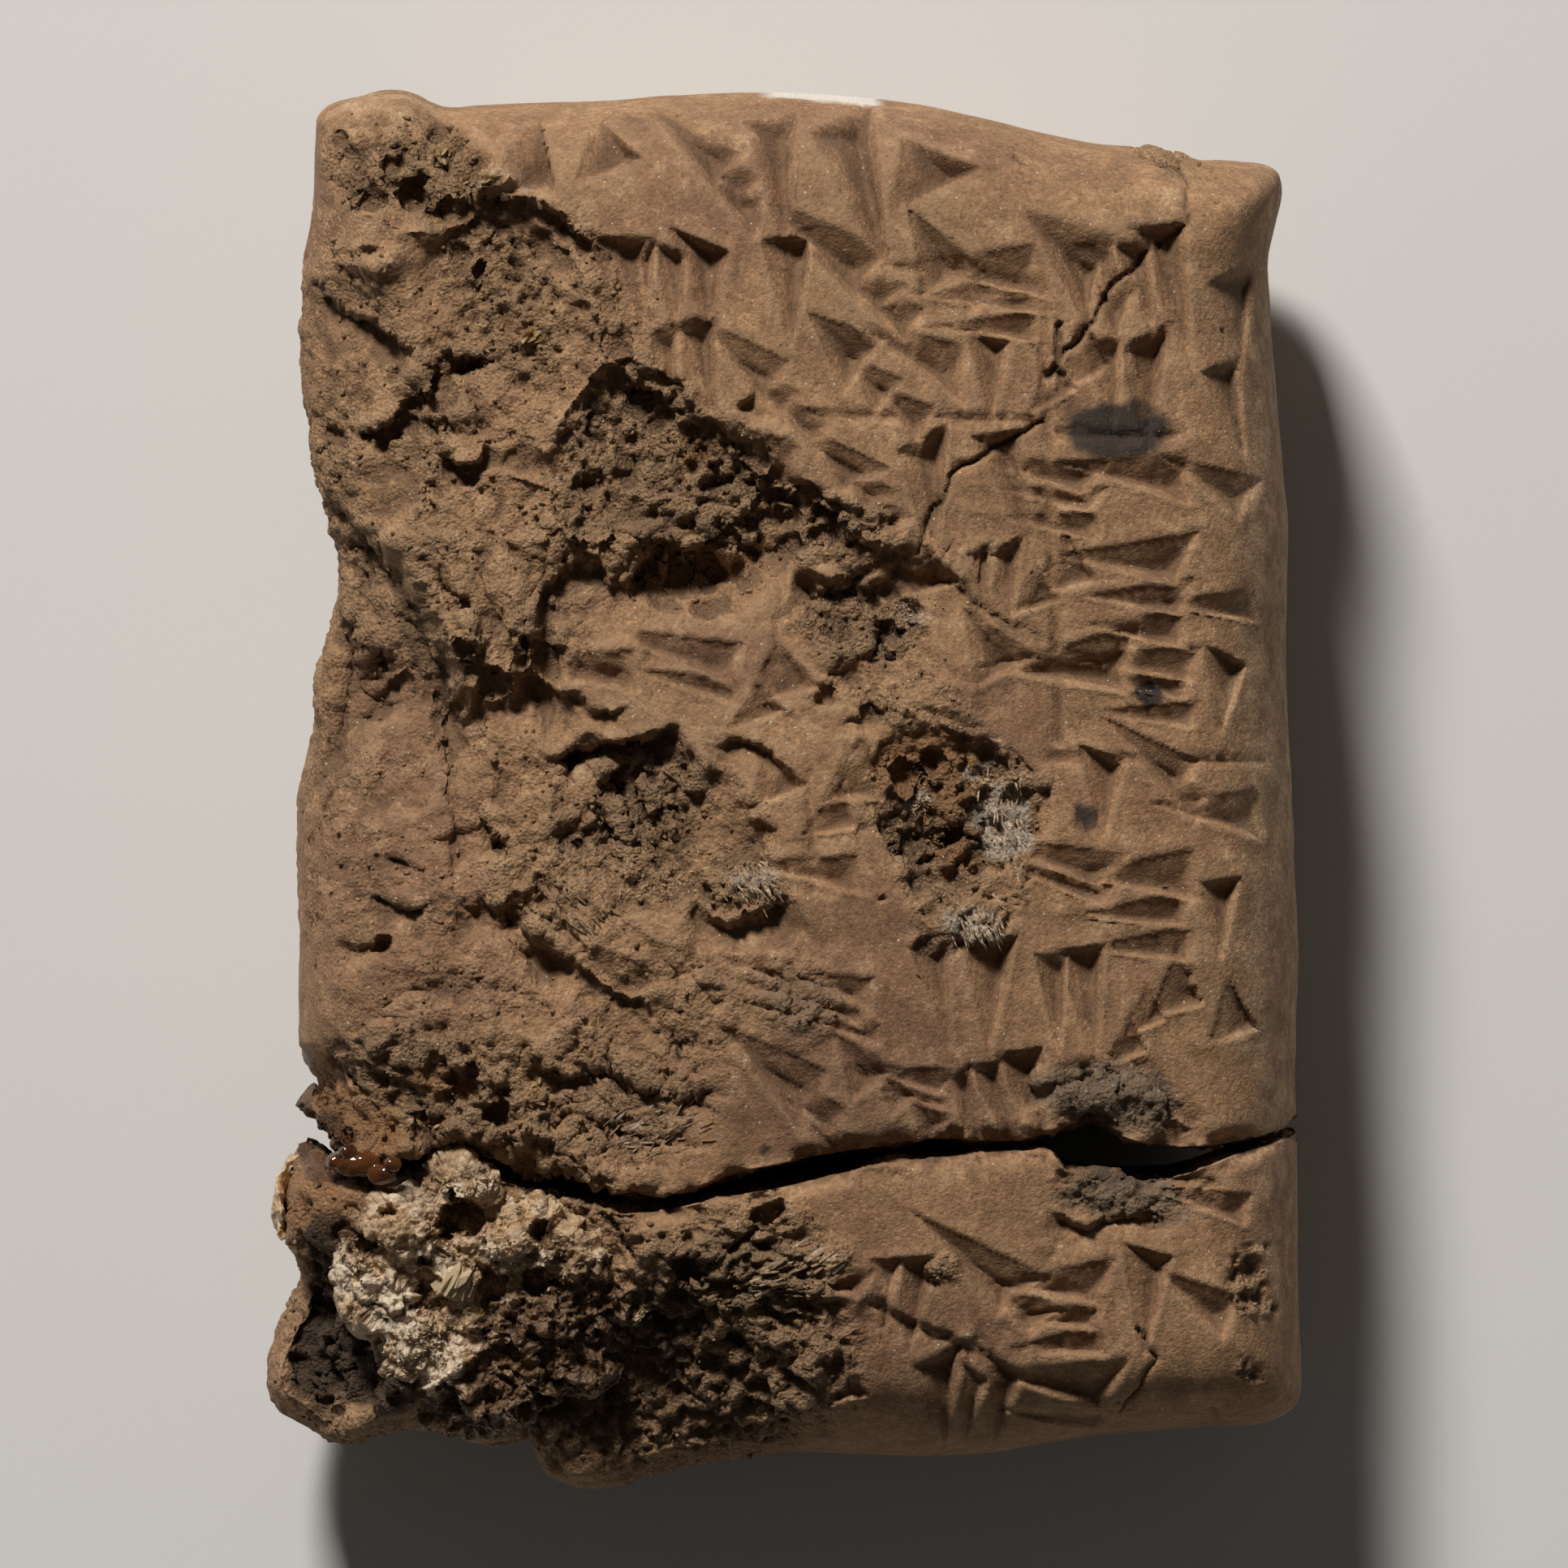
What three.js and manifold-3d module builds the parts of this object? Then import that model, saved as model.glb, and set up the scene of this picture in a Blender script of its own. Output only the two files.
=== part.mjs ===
// A small clay tablet covered with rows of pressed wedge strokes, broken across into two fragments.
// It lies on its back with the written face up. Millimetres, +X right, +Y to the head of the text,
// +Z up, origin on the surface it lies on, under the middle of its outline.
// The clay is one rounded slab: its outline is bent, its face hollowed where flakes have sprung off,
// the strokes and ruled lines are pressed in, and it is parted along the ragged break.
import * as THREE from 'three';
import { mergeVertices } from 'three/addons/utils/BufferGeometryUtils.js';
import Module from 'manifold-3d';

const wasm = await Module();
wasm.setup();

// Slab
const HALF_WIDTH = 18.6;
const HALF_LENGTH = 25.4;
const FLANK_HEIGHT = 15.4; // where the flanks meet the face
const FACE_DOME = 2.2; // how far the middle of the face stands above the flanks
const BACK_SWELL = 1.5; // how far the back rises from its lowest part to the flanks
const FLAT_SPOT = 0.3; // how much of that swell is worn flat, so that the slab lies still
const EDGE_ROLL = 4.2; // how far in from the outline the flanks roll over
const ROLL_POWER = 2.6; // 2 is a round flank, more is squarer
const SLAB_CUTS = { across: 23, along: 32, thick: 4 };

// Outline: [station, place] pairs of each side, taken round the bends that the edge has
const HEAD_EDGE = [
  [-18.4, 27.4], [-17.3, 26.5], [-16.2, 26.2], [-15.1, 25.9], [-14, 25.4], [-12.4, 25.4], [-6, 25.6],
  [-1, 25.9], [4.6, 25.5], [8, 24.8], [11.2, 24.1], [13.4, 23.8], [15.2, 23.4], [16.1, 23.5],
  [17.2, 23.9], [18.2, 24.7],
];
const FOOT_EDGE = [
  [-18.2, -25], [-17.6, -24.8], [-16.1, -24.7], [-14.7, -24.1], [-12.8, -24], [-11.2, -24.6],
  [-9.8, -24.5], [-9.2, -24.2], [-8.4, -25.8], [-6, -26], [-3, -25.4], [0.8, -25.1], [7, -25.1],
  [12.9, -24.3], [15.4, -24.1], [16.4, -24.3], [17.4, -24.7], [18.3, -25.2],
];
const LEFT_EDGE = [
  [-24.6, -19], [-23.2, -19.6], [-21.6, -19.2], [-19.8, -18.5], [-18.4, -18.2], [-16.8, -19],
  [-15.2, -18.5], [-13.6, -17.7], [-12, -17.5], [-10.5, -18.1], [-6, -18.2], [-1.2, -18.2], [1.8, -17.6],
  [5, -17.1], [7.6, -16.5], [9, -16.9], [10.6, -17.5], [12.4, -17.7], [16, -18.1], [20, -17.7],
  [22.2, -17.6], [23.4, -17.7], [24.6, -17.2],
];
const RIGHT_EDGE = [
  [-24.6, 19.3], [-23.4, 19.6], [-22, 19.4], [-13, 19.2], [-6.4, 19.2], [4, 18.8], [10.4, 18.9],
  [14.6, 18.5], [19.8, 18.1], [21.6, 18.4], [23.4, 18.9], [24.6, 18.6],
];

// Break: the two lips of the gap between the fragments, left to right
const UPPER_LIP = [
  [-20, -10.6], [-18, -11.6], [-16.2, -13.7], [-14.2, -14], [-12.2, -13.3], [-9.5, -14.8], [-8.2, -14.5],
  [-5.1, -15.3], [-1, -14.3], [4.9, -13.2], [8.6, -13.2], [11.2, -12.5], [13, -13.3], [15, -13.5],
  [18.2, -13], [20, -11.8],
];
const LOWER_LIP = [
  [-20, -13.2], [-17.6, -13.8], [-16.9, -14.4], [-14.9, -14.9], [-12.2, -14], [-9.2, -15.2], [-5.5, -15.9],
  [-1.6, -15.2], [4.5, -14], [9.8, -13.7], [10.5, -14.4], [14.2, -14.6], [17, -13.7], [20, -12.9],
];

// Places where the face has flaked, crumbled or sunk: centre, reach along and across its own length,
// the turn of that length from +X in degrees, depth, how much deeper its far end and its left side are,
// how sharply the rim drops (1 is a gentle dish), and how crumbly the floor is
const hollow = (at, reach, turn, depth, lean, rim, crumb) => ({ at, reach, turn, depth, lean, rim, crumb });
const HOLLOWS = {
  headCorner: hollow([-13.7, 22.8], [4, 2], -18, 1, [0, 0], 2, 0.35),
  shoulder: hollow([-11.4, 16.6], [4.8, 4.2], 90, 1.3, [0.3, 0], 3, 0.4),
  leftFlake: hollow([-16.6, 13.6], [6, 4], 90, 1.7, [0.2, 0.2], 4, 0.2),
  upperCrumble: hollow([-4.4, 11], [5.6, 3.4], -50, 1.6, [0.5, 0], 3, 0.45),
  scoop: hollow([-17.2, 4.4], [7.4, 5], -52, 2.8, [0.1, 0.35], 3, 0.25),
  smoothDip: hollow([-14.6, -1.6], [5.4, 5], 0, 1.3, [0, 0.4], 1, 0.1),
  middleCrumble: hollow([-4.6, -1.8], [4.6, 3.4], -20, 1.1, [-0.2, 0.2], 2, 0.5),
  smallCrumble: hollow([3.2, 5.4], [2.9, 2.2], -30, 0.7, [0, 0], 2, 0.4),
  saltPit: hollow([6.4, -1], [3.7, 3.1], -50, 1.8, [0.2, 0.2], 3, 0.4),
  fibrousFoot: hollow([-6, -11.6], [4.8, 3.2], 20, 0.9, [0, 0], 1, 0.35),
  rustyCorner: hollow([-15, -12], [4.6, 2.6], 0, 1.2, [-0.3, 0], 1, 0.45),
  greyArch: hollow([12.2, -11.9], [3.6, 1.8], -12, 0.8, [0, 0.2], 2, 0.1),
  greyArchFoot: hollow([13, -15.2], [3.4, 1.5], 0, 0.8, [0, 0], 2, 0.2),
  crustBed: hollow([-11.4, -18], [7, 5.4], -15, 2, [0, 0], 2, 0.5),
  footCavity: hollow([-16.8, -20.6], [4, 3], 80, 4.4, [-0.2, 0], 2, 0.5),
  porousFoot: hollow([-5.2, -22.6], [6.4, 4.8], 10, 3.2, [-0.2, -0.4], 1, 0.6),
};

// Writing: rows of wedge strokes that fill the face down to the foot, right of the lost left part
const FIRST_ROW = 23.2;
const ROW_PITCH = 3.8;
const ROW_COUNT = 13;
const STROKE_PITCH = 2.9;
const TEXT_LEFT = -16.4;
const TEXT_RIGHT = 17;
const STROKE_KINDS = [
  { turn: 180, length: 5.4, width: 2.3, depth: 0.8 },
  { turn: 146, length: 4.8, width: 2.2, depth: 0.75 },
  { turn: -90, length: 4.2, width: 2, depth: 0.8 },
  { turn: -138, length: 2.6, width: 2.6, depth: 0.75 },
  { turn: 172, length: 4.8, width: 1.5, depth: 0.55 },
  { turn: -78, length: 5, width: 1.9, depth: 0.8 },
  { turn: 130, length: 3, width: 2.6, depth: 0.8 },
];
const HEAD_SHARE = 0.22; // share of a stroke's length that lies behind its deepest point
// How far the deepest point lies off the middle of a stroke, as a share of half its width
const TOOL_LEAN = { south: 0.5, east: 0.36 };
const STROKE_CLEAR = 0.6; // how far a cutter stands above the face
const ROW_WANDER = 0.9;
const TURN_WANDER = 16; // degrees
const STROKE_SIZES = [0.8, 1.15];
const LOST = 0.15; // how far sunk the face is where its writing has gone
const STROKE_MARGIN = 1.7; // bare clay along the head, the foot and the break
const RULES = [
  { from: [9.6, 17.2], to: [10.2, 1.6] },
  { from: [-1, 13.6], to: [9, 13.4] },
  { from: [10.2, 13], to: [14.4, 12.8] },
  { from: [9.8, 0.9], to: [17.8, 0.8] },
];
const RULE_WIDTH = 0.42;
const RULE_DEPTH = 0.28;
const RULE_STEP = 2.6;

const PAST_SLAB = 30; // a reach that is clear of the slab on every side
const LIP_STEPS = 60;

// Mineral growth and repair
const CRUST_LUMPS = [
  { at: [-12.2, -17.6], reach: [3.4, 3.1], rise: 3 },
  { at: [-9.4, -19.4], reach: [3.3, 2.7], rise: 2.7 },
  { at: [-13.6, -20.6], reach: [1.9, 2.3], rise: 2.3 },
  { at: [-8.2, -17.2], reach: [2.2, 1.5], rise: 1.9 },
  { at: [-14.4, -16.8], reach: [1.7, 1.1], rise: 1.7 },
];
const ADHESIVE_DROP = { at: [-15.6, -14.25], reach: [1.5, 0.9], rise: 1.1 };
const CRUST_SUNK = 0.95; // share of a lump's rise that lies below the domed face
const CRUST_UNEVENNESS = 0.3;
const DROP_SUNK = 0.7;
const FIT_GAP = 0.32; // left all round a piece that sits in the clay

const finish = (color, roughness) => new THREE.MeshStandardMaterial({ color, roughness, metalness: 0 });
const clay = () => finish('#a47e5c', 0.9);
const salt = () => finish('#cdb694', 0.45);
const resin = () => finish('#5a2c0e', 0.15);

// A fixed scatter between 0 and 1 for item n.
const scatter = (n, salt) => {
  const spread = Math.sin(n * 12.9898 + salt * 78.233) * 43758.5453;
  return spread - Math.floor(spread);
};

// A smooth curve through [station, value] points, as a function of the station.
function curveThrough(points) {
  const last = points.length - 1;
  const slope = (i) => {
    const before = points[Math.max(i - 1, 0)];
    const after = points[Math.min(i + 1, last)];
    return (after[1] - before[1]) / (after[0] - before[0]);
  };
  return (station) => {
    if (station <= points[0][0]) return points[0][1];
    if (station >= points[last][0]) return points[last][1];
    const i = points.findIndex((point) => point[0] > station) - 1;
    const [s0, v0] = points[i];
    const [s1, v1] = points[i + 1];
    const span = s1 - s0;
    const t = (station - s0) / span;
    const rise = t * t * (3 - 2 * t);
    const leave = t * (1 - t) * (1 - t) * span * slope(i);
    const arrive = t * t * (t - 1) * span * slope(i + 1);
    return v0 + (v1 - v0) * rise + leave + arrive;
  };
}

const headEdge = curveThrough(HEAD_EDGE);
const footEdge = curveThrough(FOOT_EDGE);
const leftEdge = curveThrough(LEFT_EDGE);
const rightEdge = curveThrough(RIGHT_EDGE);
const upperLip = curveThrough(UPPER_LIP);
const lowerLip = curveThrough(LOWER_LIP);

// Where a point lies in a hollow's own directions, with the rim at a distance of 1.
function withinHollow(place, x, y) {
  const turn = THREE.MathUtils.degToRad(place.turn);
  const [east, north] = [x - place.at[0], y - place.at[1]];
  const along = (east * Math.cos(turn) + north * Math.sin(turn)) / place.reach[0];
  const across = (north * Math.cos(turn) - east * Math.sin(turn)) / place.reach[1];
  return [along, across];
}

// How far a point of the face has sunk into a hollow: 0 at the rim, 1 on the floor.
function sunk(place, x, y) {
  const [along, across] = withinHollow(place, x, y);
  const inside = Math.max(0, 1 - along ** 2 - across ** 2);
  return 1 - (1 - inside) ** place.rim;
}

// The face is lowered by the deepest hollow that reaches a point, and its floor is crumbly.
function faceLoss(x, y) {
  let loss = 0;
  let crumb = 0;
  for (const place of Object.values(HOLLOWS)) {
    const [along, across] = withinHollow(place, x, y);
    const share = sunk(place, x, y);
    const tilt = 1 + place.lean[0] * along + place.lean[1] * across;
    loss = Math.max(loss, share * place.depth * tilt);
    crumb = Math.max(crumb, share * place.crumb);
  }
  return loss + crumb * (2 * scatter(Math.round(x * 10), Math.round(y * 10)) - 1);
}

// Height of the domed face, before the edges roll over and anything is lost from it.
function faceDome(x, y) {
  const across = Math.min(1, Math.abs(x) / HALF_WIDTH);
  const along = Math.min(1, Math.abs(y) / HALF_LENGTH);
  return FLANK_HEIGHT + FACE_DOME * (1 - across ** 2) * (1 - along ** 4);
}

// Height of the face as it is now, at a place well inside the outline.
const faceHeight = (x, y) => faceDome(x, y) - faceLoss(x, y);

// Height of the back, which is flat in its middle and rises towards the flanks.
function backHeight(x, y) {
  const swell = BACK_SWELL * ((x / HALF_WIDTH) ** 2 + (y / HALF_LENGTH) ** 4);
  return Math.max(0, swell - FLAT_SPOT);
}

// Moves a corner of the slab from its place in a plain box, -1 to 1 each way, to its place in the clay.
function placeInClay(corner) {
  const half = [HALF_WIDTH, HALF_LENGTH, 1];
  const roll = [EDGE_ROLL, EDGE_ROLL, 1];
  const core = half.map((size, i) => THREE.MathUtils.clamp(corner[i] * size, roll[i] - size, size - roll[i]));
  const out = half.map((size, i) => (corner[i] * size - core[i]) / roll[i]);
  const norm = out.reduce((sum, part) => sum + Math.abs(part) ** ROLL_POWER, 0) ** (1 / ROLL_POWER);
  const round = core.map((place, i) => place + (out[i] / norm) * roll[i]);
  const [x, y, side] = round;
  const bentX = x * ((x < 0 ? -leftEdge(y) : rightEdge(y)) / HALF_WIDTH);
  const bentY = y * ((y < 0 ? -footEdge(x) : headEdge(x)) / HALF_LENGTH);
  const top = faceDome(x, y) - Math.max(0, side) * faceLoss(bentX, bentY);
  const middle = FLANK_HEIGHT / 2;
  const z = side > 0 ? middle + side * (top - middle) : middle + side * (middle - backHeight(x, y));
  return [bentX, bentY, z];
}

// A three.js geometry as a solid that can be joined and cut.
function solidFrom(geometry) {
  const bare = geometry.clone();
  bare.deleteAttribute('normal');
  bare.deleteAttribute('uv');
  const merged = mergeVertices(bare, 1e-4);
  const vertProperties = new Float32Array(merged.attributes.position.array);
  const triVerts = new Uint32Array(merged.index.array);
  return new wasm.Manifold(new wasm.Mesh({ numProp: 3, vertProperties, triVerts }));
}

function meshFrom(solid, name, material) {
  const mesh = solid.getMesh();
  const geometry = new THREE.BufferGeometry();
  geometry.setAttribute('position', new THREE.BufferAttribute(new Float32Array(mesh.vertProperties), 3));
  geometry.setIndex(new THREE.BufferAttribute(new Uint32Array(mesh.triVerts), 1));
  geometry.computeVertexNormals();
  const part = new THREE.Mesh(geometry, material);
  part.name = name;
  return part;
}

function slab() {
  const box = new THREE.BoxGeometry(2, 2, 2, SLAB_CUTS.across, SLAB_CUTS.along, SLAB_CUTS.thick);
  const places = box.attributes.position;
  for (let i = 0; i < places.count; i += 1) {
    const corner = [places.getX(i), places.getY(i), places.getZ(i)];
    places.setXYZ(i, ...placeInClay(corner));
  }
  return solidFrom(box);
}

// Deepens a stroke by one press of the tool's corner: a three-sided point, deepest just behind its head.
function strokeCutter(stroke) {
  const rise = stroke.depth + STROKE_CLEAR;
  const grow = rise / stroke.depth;
  const reach = (2 / 3) * stroke.length * grow;
  const lean = (HEAD_SHARE - 1 / 3) * stroke.length * grow;
  const spread = (stroke.width / Math.sqrt(3)) * grow;
  const turn = THREE.MathUtils.degToRad(stroke.turn);
  const offMiddle = -TOOL_LEAN.south * Math.cos(turn) - TOOL_LEAN.east * Math.sin(turn);
  const sideways = (stroke.width / 2) * offMiddle * grow;
  const press = new THREE.Matrix4().set(
    0, lean, reach, 0,
    -spread, sideways, 0, 0,
    0, -rise, 0, -stroke.depth,
    0, 0, 0, 1,
  );
  const cutter = new THREE.ConeGeometry(1, 1, 3).translate(0, -0.5, 0).applyMatrix4(press);
  cutter.rotateZ(turn);
  cutter.translate(stroke.x, stroke.y, faceHeight(stroke.x, stroke.y));
  return solidFrom(cutter);
}

// The strokes of every row; those that would fall where the face is lost are left out.
function writtenStrokes() {
  const strokes = [];
  const perRow = Math.floor((TEXT_RIGHT - TEXT_LEFT) / STROKE_PITCH);
  for (let n = 0; n < ROW_COUNT * perRow; n += 1) {
    const row = Math.floor(n / perRow);
    const x = TEXT_LEFT + ((n % perRow) + 0.25 + 0.5 * scatter(n, 2)) * STROKE_PITCH;
    const y = FIRST_ROW - row * ROW_PITCH + ROW_WANDER * (scatter(n, 3) - 0.5);
    const lost = Object.values(HOLLOWS).some((place) => sunk(place, x, y) > LOST);
    const byBreak = y > lowerLip(x) - STROKE_MARGIN && y < upperLip(x) + STROKE_MARGIN;
    const byEdge = y > headEdge(x) - STROKE_MARGIN || y < footEdge(x) + STROKE_MARGIN;
    if (lost || byBreak || byEdge) continue;
    const kind = STROKE_KINDS[Math.floor(scatter(n, 1) * STROKE_KINDS.length)];
    const size = THREE.MathUtils.lerp(...STROKE_SIZES, scatter(n, 4));
    const turn = kind.turn + TURN_WANDER * (scatter(n, 5) - 0.5);
    const [length, width, depth] = [kind.length, kind.width, kind.depth].map((measure) => measure * size);
    strokes.push({ x, y, turn, length, width, depth });
  }
  return strokes;
}

// A ruled line is a shallow three-sided groove, laid in short steps so that it follows the dome.
function ruleCutters(rule) {
  const from = new THREE.Vector2(...rule.from);
  const run = new THREE.Vector2(...rule.to).sub(from);
  const steps = Math.ceil(run.length() / RULE_STEP);
  const cutters = [];
  for (let step = 0; step < steps; step += 1) {
    const middle = from.clone().addScaledVector(run, (step + 0.5) / steps);
    const groove = new THREE.CylinderGeometry(RULE_WIDTH, RULE_WIDTH, (run.length() / steps) * 1.04, 3);
    groove.rotateZ(Math.PI / 2).rotateX(Math.PI);
    groove.rotateZ(run.angle());
    groove.translate(middle.x, middle.y, faceHeight(middle.x, middle.y) + RULE_WIDTH - RULE_DEPTH);
    cutters.push(solidFrom(groove));
  }
  return cutters;
}

// The clay on one side of a lip of the break, as a block that runs far past the slab.
function sideOfBreak(lip, farSide) {
  const outline = new THREE.Shape();
  for (let step = 0; step <= LIP_STEPS; step += 1) {
    const x = (step / LIP_STEPS - 0.5) * 2 * PAST_SLAB;
    const y = lip(x);
    if (step === 0) outline.moveTo(x, y);
    else outline.lineTo(x, y);
  }
  outline.lineTo(PAST_SLAB, farSide);
  outline.lineTo(-PAST_SLAB, farSide);
  const block = new THREE.ExtrudeGeometry(outline, { depth: 2 * PAST_SLAB, bevelEnabled: false });
  return solidFrom(block.translate(0, 0, -PAST_SLAB / 2));
}

// A rounded, uneven lump; with a gap it is the larger hole that the lump sits in.
function lump(form, height, detail, unevenness, gap) {
  const ball = new THREE.IcosahedronGeometry(1, detail);
  const places = ball.attributes.position;
  for (let i = 0; i < places.count; i += 1) {
    const [x, y, z] = [places.getX(i), places.getY(i), places.getZ(i)];
    const spot = Math.round(x * 50) + 101 * Math.round(y * 50) + 10007 * Math.round(z * 50);
    const swell = 1 + unevenness * (scatter(spot, 6) - 0.5);
    const [across, along, up] = [form.reach[0] + gap, form.reach[1] + gap, form.rise + gap];
    places.setXYZ(i, x * across * swell, y * along * swell, z * up * swell);
  }
  return solidFrom(ball.translate(form.at[0], form.at[1], height));
}

const crustLumps = (gap) => CRUST_LUMPS.map((form) => (
  lump(form, faceDome(...form.at) - form.rise * CRUST_SUNK, 2, CRUST_UNEVENNESS, gap)
));
const adhesiveDrop = (gap) => lump(
  ADHESIVE_DROP, faceDome(...ADHESIVE_DROP.at) - ADHESIVE_DROP.rise * DROP_SUNK, 2, 0, gap,
);

const joined = (solids) => solids.reduce((whole, solid) => whole.add(solid));

const pressed = joined([...writtenStrokes().map(strokeCutter), ...RULES.flatMap(ruleCutters)]);
const seats = joined([...crustLumps(FIT_GAP), adhesiveDrop(FIT_GAP)]);
const written = slab().subtract(pressed).subtract(seats);

const tablet = new THREE.Group();
tablet.add(meshFrom(written.intersect(sideOfBreak(upperLip, PAST_SLAB)), 'upper_fragment', clay()));
tablet.add(meshFrom(written.intersect(sideOfBreak(lowerLip, -PAST_SLAB)), 'lower_fragment', clay()));
tablet.add(meshFrom(joined(crustLumps(0)), 'salt_crust', salt()));
tablet.add(meshFrom(adhesiveDrop(0), 'adhesive_drop', resin()));

// The origin goes under the middle of the outline, on the surface that the tablet lies on.
const extent = new THREE.Box3().setFromObject(tablet);
const middle = extent.getCenter(new THREE.Vector3());
tablet.position.set(-middle.x, -middle.y, -extent.min.z);

export default tablet;
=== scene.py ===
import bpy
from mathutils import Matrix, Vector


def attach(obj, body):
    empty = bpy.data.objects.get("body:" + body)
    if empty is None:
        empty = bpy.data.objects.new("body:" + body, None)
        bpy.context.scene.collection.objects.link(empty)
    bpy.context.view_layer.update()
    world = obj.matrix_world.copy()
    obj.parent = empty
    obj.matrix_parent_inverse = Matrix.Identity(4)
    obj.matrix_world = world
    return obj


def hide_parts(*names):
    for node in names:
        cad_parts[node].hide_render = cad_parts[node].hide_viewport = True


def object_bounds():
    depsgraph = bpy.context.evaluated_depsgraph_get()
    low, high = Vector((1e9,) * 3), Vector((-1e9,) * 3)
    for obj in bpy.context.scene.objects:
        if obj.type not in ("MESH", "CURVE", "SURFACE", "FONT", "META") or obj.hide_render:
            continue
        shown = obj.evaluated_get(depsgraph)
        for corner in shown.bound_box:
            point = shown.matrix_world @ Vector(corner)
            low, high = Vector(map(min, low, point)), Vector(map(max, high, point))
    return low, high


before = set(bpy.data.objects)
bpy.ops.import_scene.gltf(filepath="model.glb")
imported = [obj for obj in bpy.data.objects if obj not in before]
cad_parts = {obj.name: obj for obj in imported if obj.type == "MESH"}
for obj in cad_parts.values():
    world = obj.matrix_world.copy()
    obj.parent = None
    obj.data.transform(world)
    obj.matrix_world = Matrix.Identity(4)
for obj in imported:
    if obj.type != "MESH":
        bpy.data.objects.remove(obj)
cad_box = [list(corner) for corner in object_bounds()]

import itertools
import math

import bpy
import numpy as np

MM = 0.001

# ---------------------------------------------------------------------------------------------
# Table, light and camera.
# A plain pale table top, one soft lamp low over the head of the tablet so that every stroke
# throws its shadow towards the foot, and a camera that looks straight down on the written face.
# ---------------------------------------------------------------------------------------------
TABLE_SIZE = 1.6
TABLE_PAINT = (0.72, 0.71, 0.69, 1)
TABLE_ROUGHNESS = 0.8
VIEW_WIDTH = 57.96 * MM
CAMERA_RISE = 0.62
FILM_WIDTH = 36
FARTHEST_SEEN = 10
LAMP_TURN = 108.0        # degrees round from +X, seen from above
LAMP_RISE = 39           # degrees above the table
LAMP_AWAY = 0.8
LAMP_SIZE = 0.15
LAMP_WATTS = 7.6
LAMP_COLOUR = (1.0, 0.97, 0.93)
ROOM_COLOUR = (1.0, 0.98, 0.94, 1)
ROOM_GLOW = 0.055


def table_and_light():
    low, high = (np.array(corner) for corner in cad_box)
    middle = (low + high) / 2
    bpy.ops.mesh.primitive_plane_add(size=TABLE_SIZE, location=(0, 0, low[2]))
    table = bpy.context.object
    table.name = "table"
    table.data.transform(table.matrix_world)
    table.matrix_world.identity()
    paint = bpy.data.materials.new("pale_table")
    paint.use_nodes = True
    shader = paint.node_tree.nodes["Principled BSDF"]
    shader.inputs["Base Color"].default_value = TABLE_PAINT
    shader.inputs["Roughness"].default_value = TABLE_ROUGHNESS
    table.data.materials.append(paint)

    turn, rise = math.radians(LAMP_TURN), math.radians(LAMP_RISE)
    away = np.array([math.cos(turn) * math.cos(rise), math.sin(turn) * math.cos(rise), math.sin(rise)])
    bpy.ops.object.light_add(type="AREA", location=middle + away * LAMP_AWAY)
    lamp = bpy.context.object
    lamp.name = "head_lamp"
    lamp.data.size = LAMP_SIZE
    lamp.data.energy = LAMP_WATTS
    lamp.data.color = LAMP_COLOUR
    lamp.rotation_euler = (math.pi / 2 - rise, 0, turn + math.pi / 2)

    world = bpy.data.worlds.new("room")
    bpy.context.scene.world = world
    world.use_nodes = True
    glow = world.node_tree.nodes["Background"]
    glow.inputs["Color"].default_value = ROOM_COLOUR
    glow.inputs["Strength"].default_value = ROOM_GLOW

    bpy.ops.object.camera_add(location=(middle[0], middle[1], high[2] + CAMERA_RISE), rotation=(0, 0, 0))
    camera = bpy.context.object
    camera.name = "camera"
    camera.data.sensor_width = FILM_WIDTH
    camera.data.lens = FILM_WIDTH * CAMERA_RISE / VIEW_WIDTH
    camera.data.clip_end = FARTHEST_SEEN
    bpy.context.scene.camera = camera
    bpy.context.scene.view_settings.view_transform = "Standard"


bpy.ops.object.select_all(action="DESELECT")
table_and_light()

# ---------------------------------------------------------------------------------------------
# The clay: one rounded slab of fine river clay, patted flat, written on while damp and baked,
# since broken across into two fragments. The outline is bent, the face is domed, flaked and
# crumbled, and the reed has left rows of wedges. Sizes here are in millimetres.
# ---------------------------------------------------------------------------------------------
HALF_WIDTH = 18.6
HALF_LENGTH = 25.4
FLANK_HEIGHT = 15.4
FACE_DOME = 2.2
BACK_SWELL = 1.5
FLAT_SPOT = 0.3
EDGE_ROLL = 4.2
ROLL_POWER = 2.6

# The bent outline: places along each edge and lip of the break with how far out it lies there
HEAD_EDGE = [
    (-18.4, 27.4), (-17.3, 26.5), (-16.2, 26.2), (-15.1, 25.9), (-14, 25.4), (-12.4, 25.4), (-6, 25.6),
    (-1, 25.9), (4.6, 25.5), (8, 24.8), (11.2, 24.1), (13.4, 23.8), (15.2, 23.4), (16.1, 23.5),
    (17.2, 23.9), (18.2, 24.7),
]
FOOT_EDGE = [
    (-18.2, -25), (-17.6, -24.8), (-16.1, -24.7), (-14.7, -24.1), (-12.8, -24), (-11.2, -24.6),
    (-9.8, -24.5), (-9.2, -24.2), (-8.4, -25.8), (-6, -26), (-3, -25.4), (0.8, -25.1), (7, -25.1),
    (12.9, -24.3), (15.4, -24.1), (16.4, -24.3), (17.4, -24.7), (18.3, -25.2),
]
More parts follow.
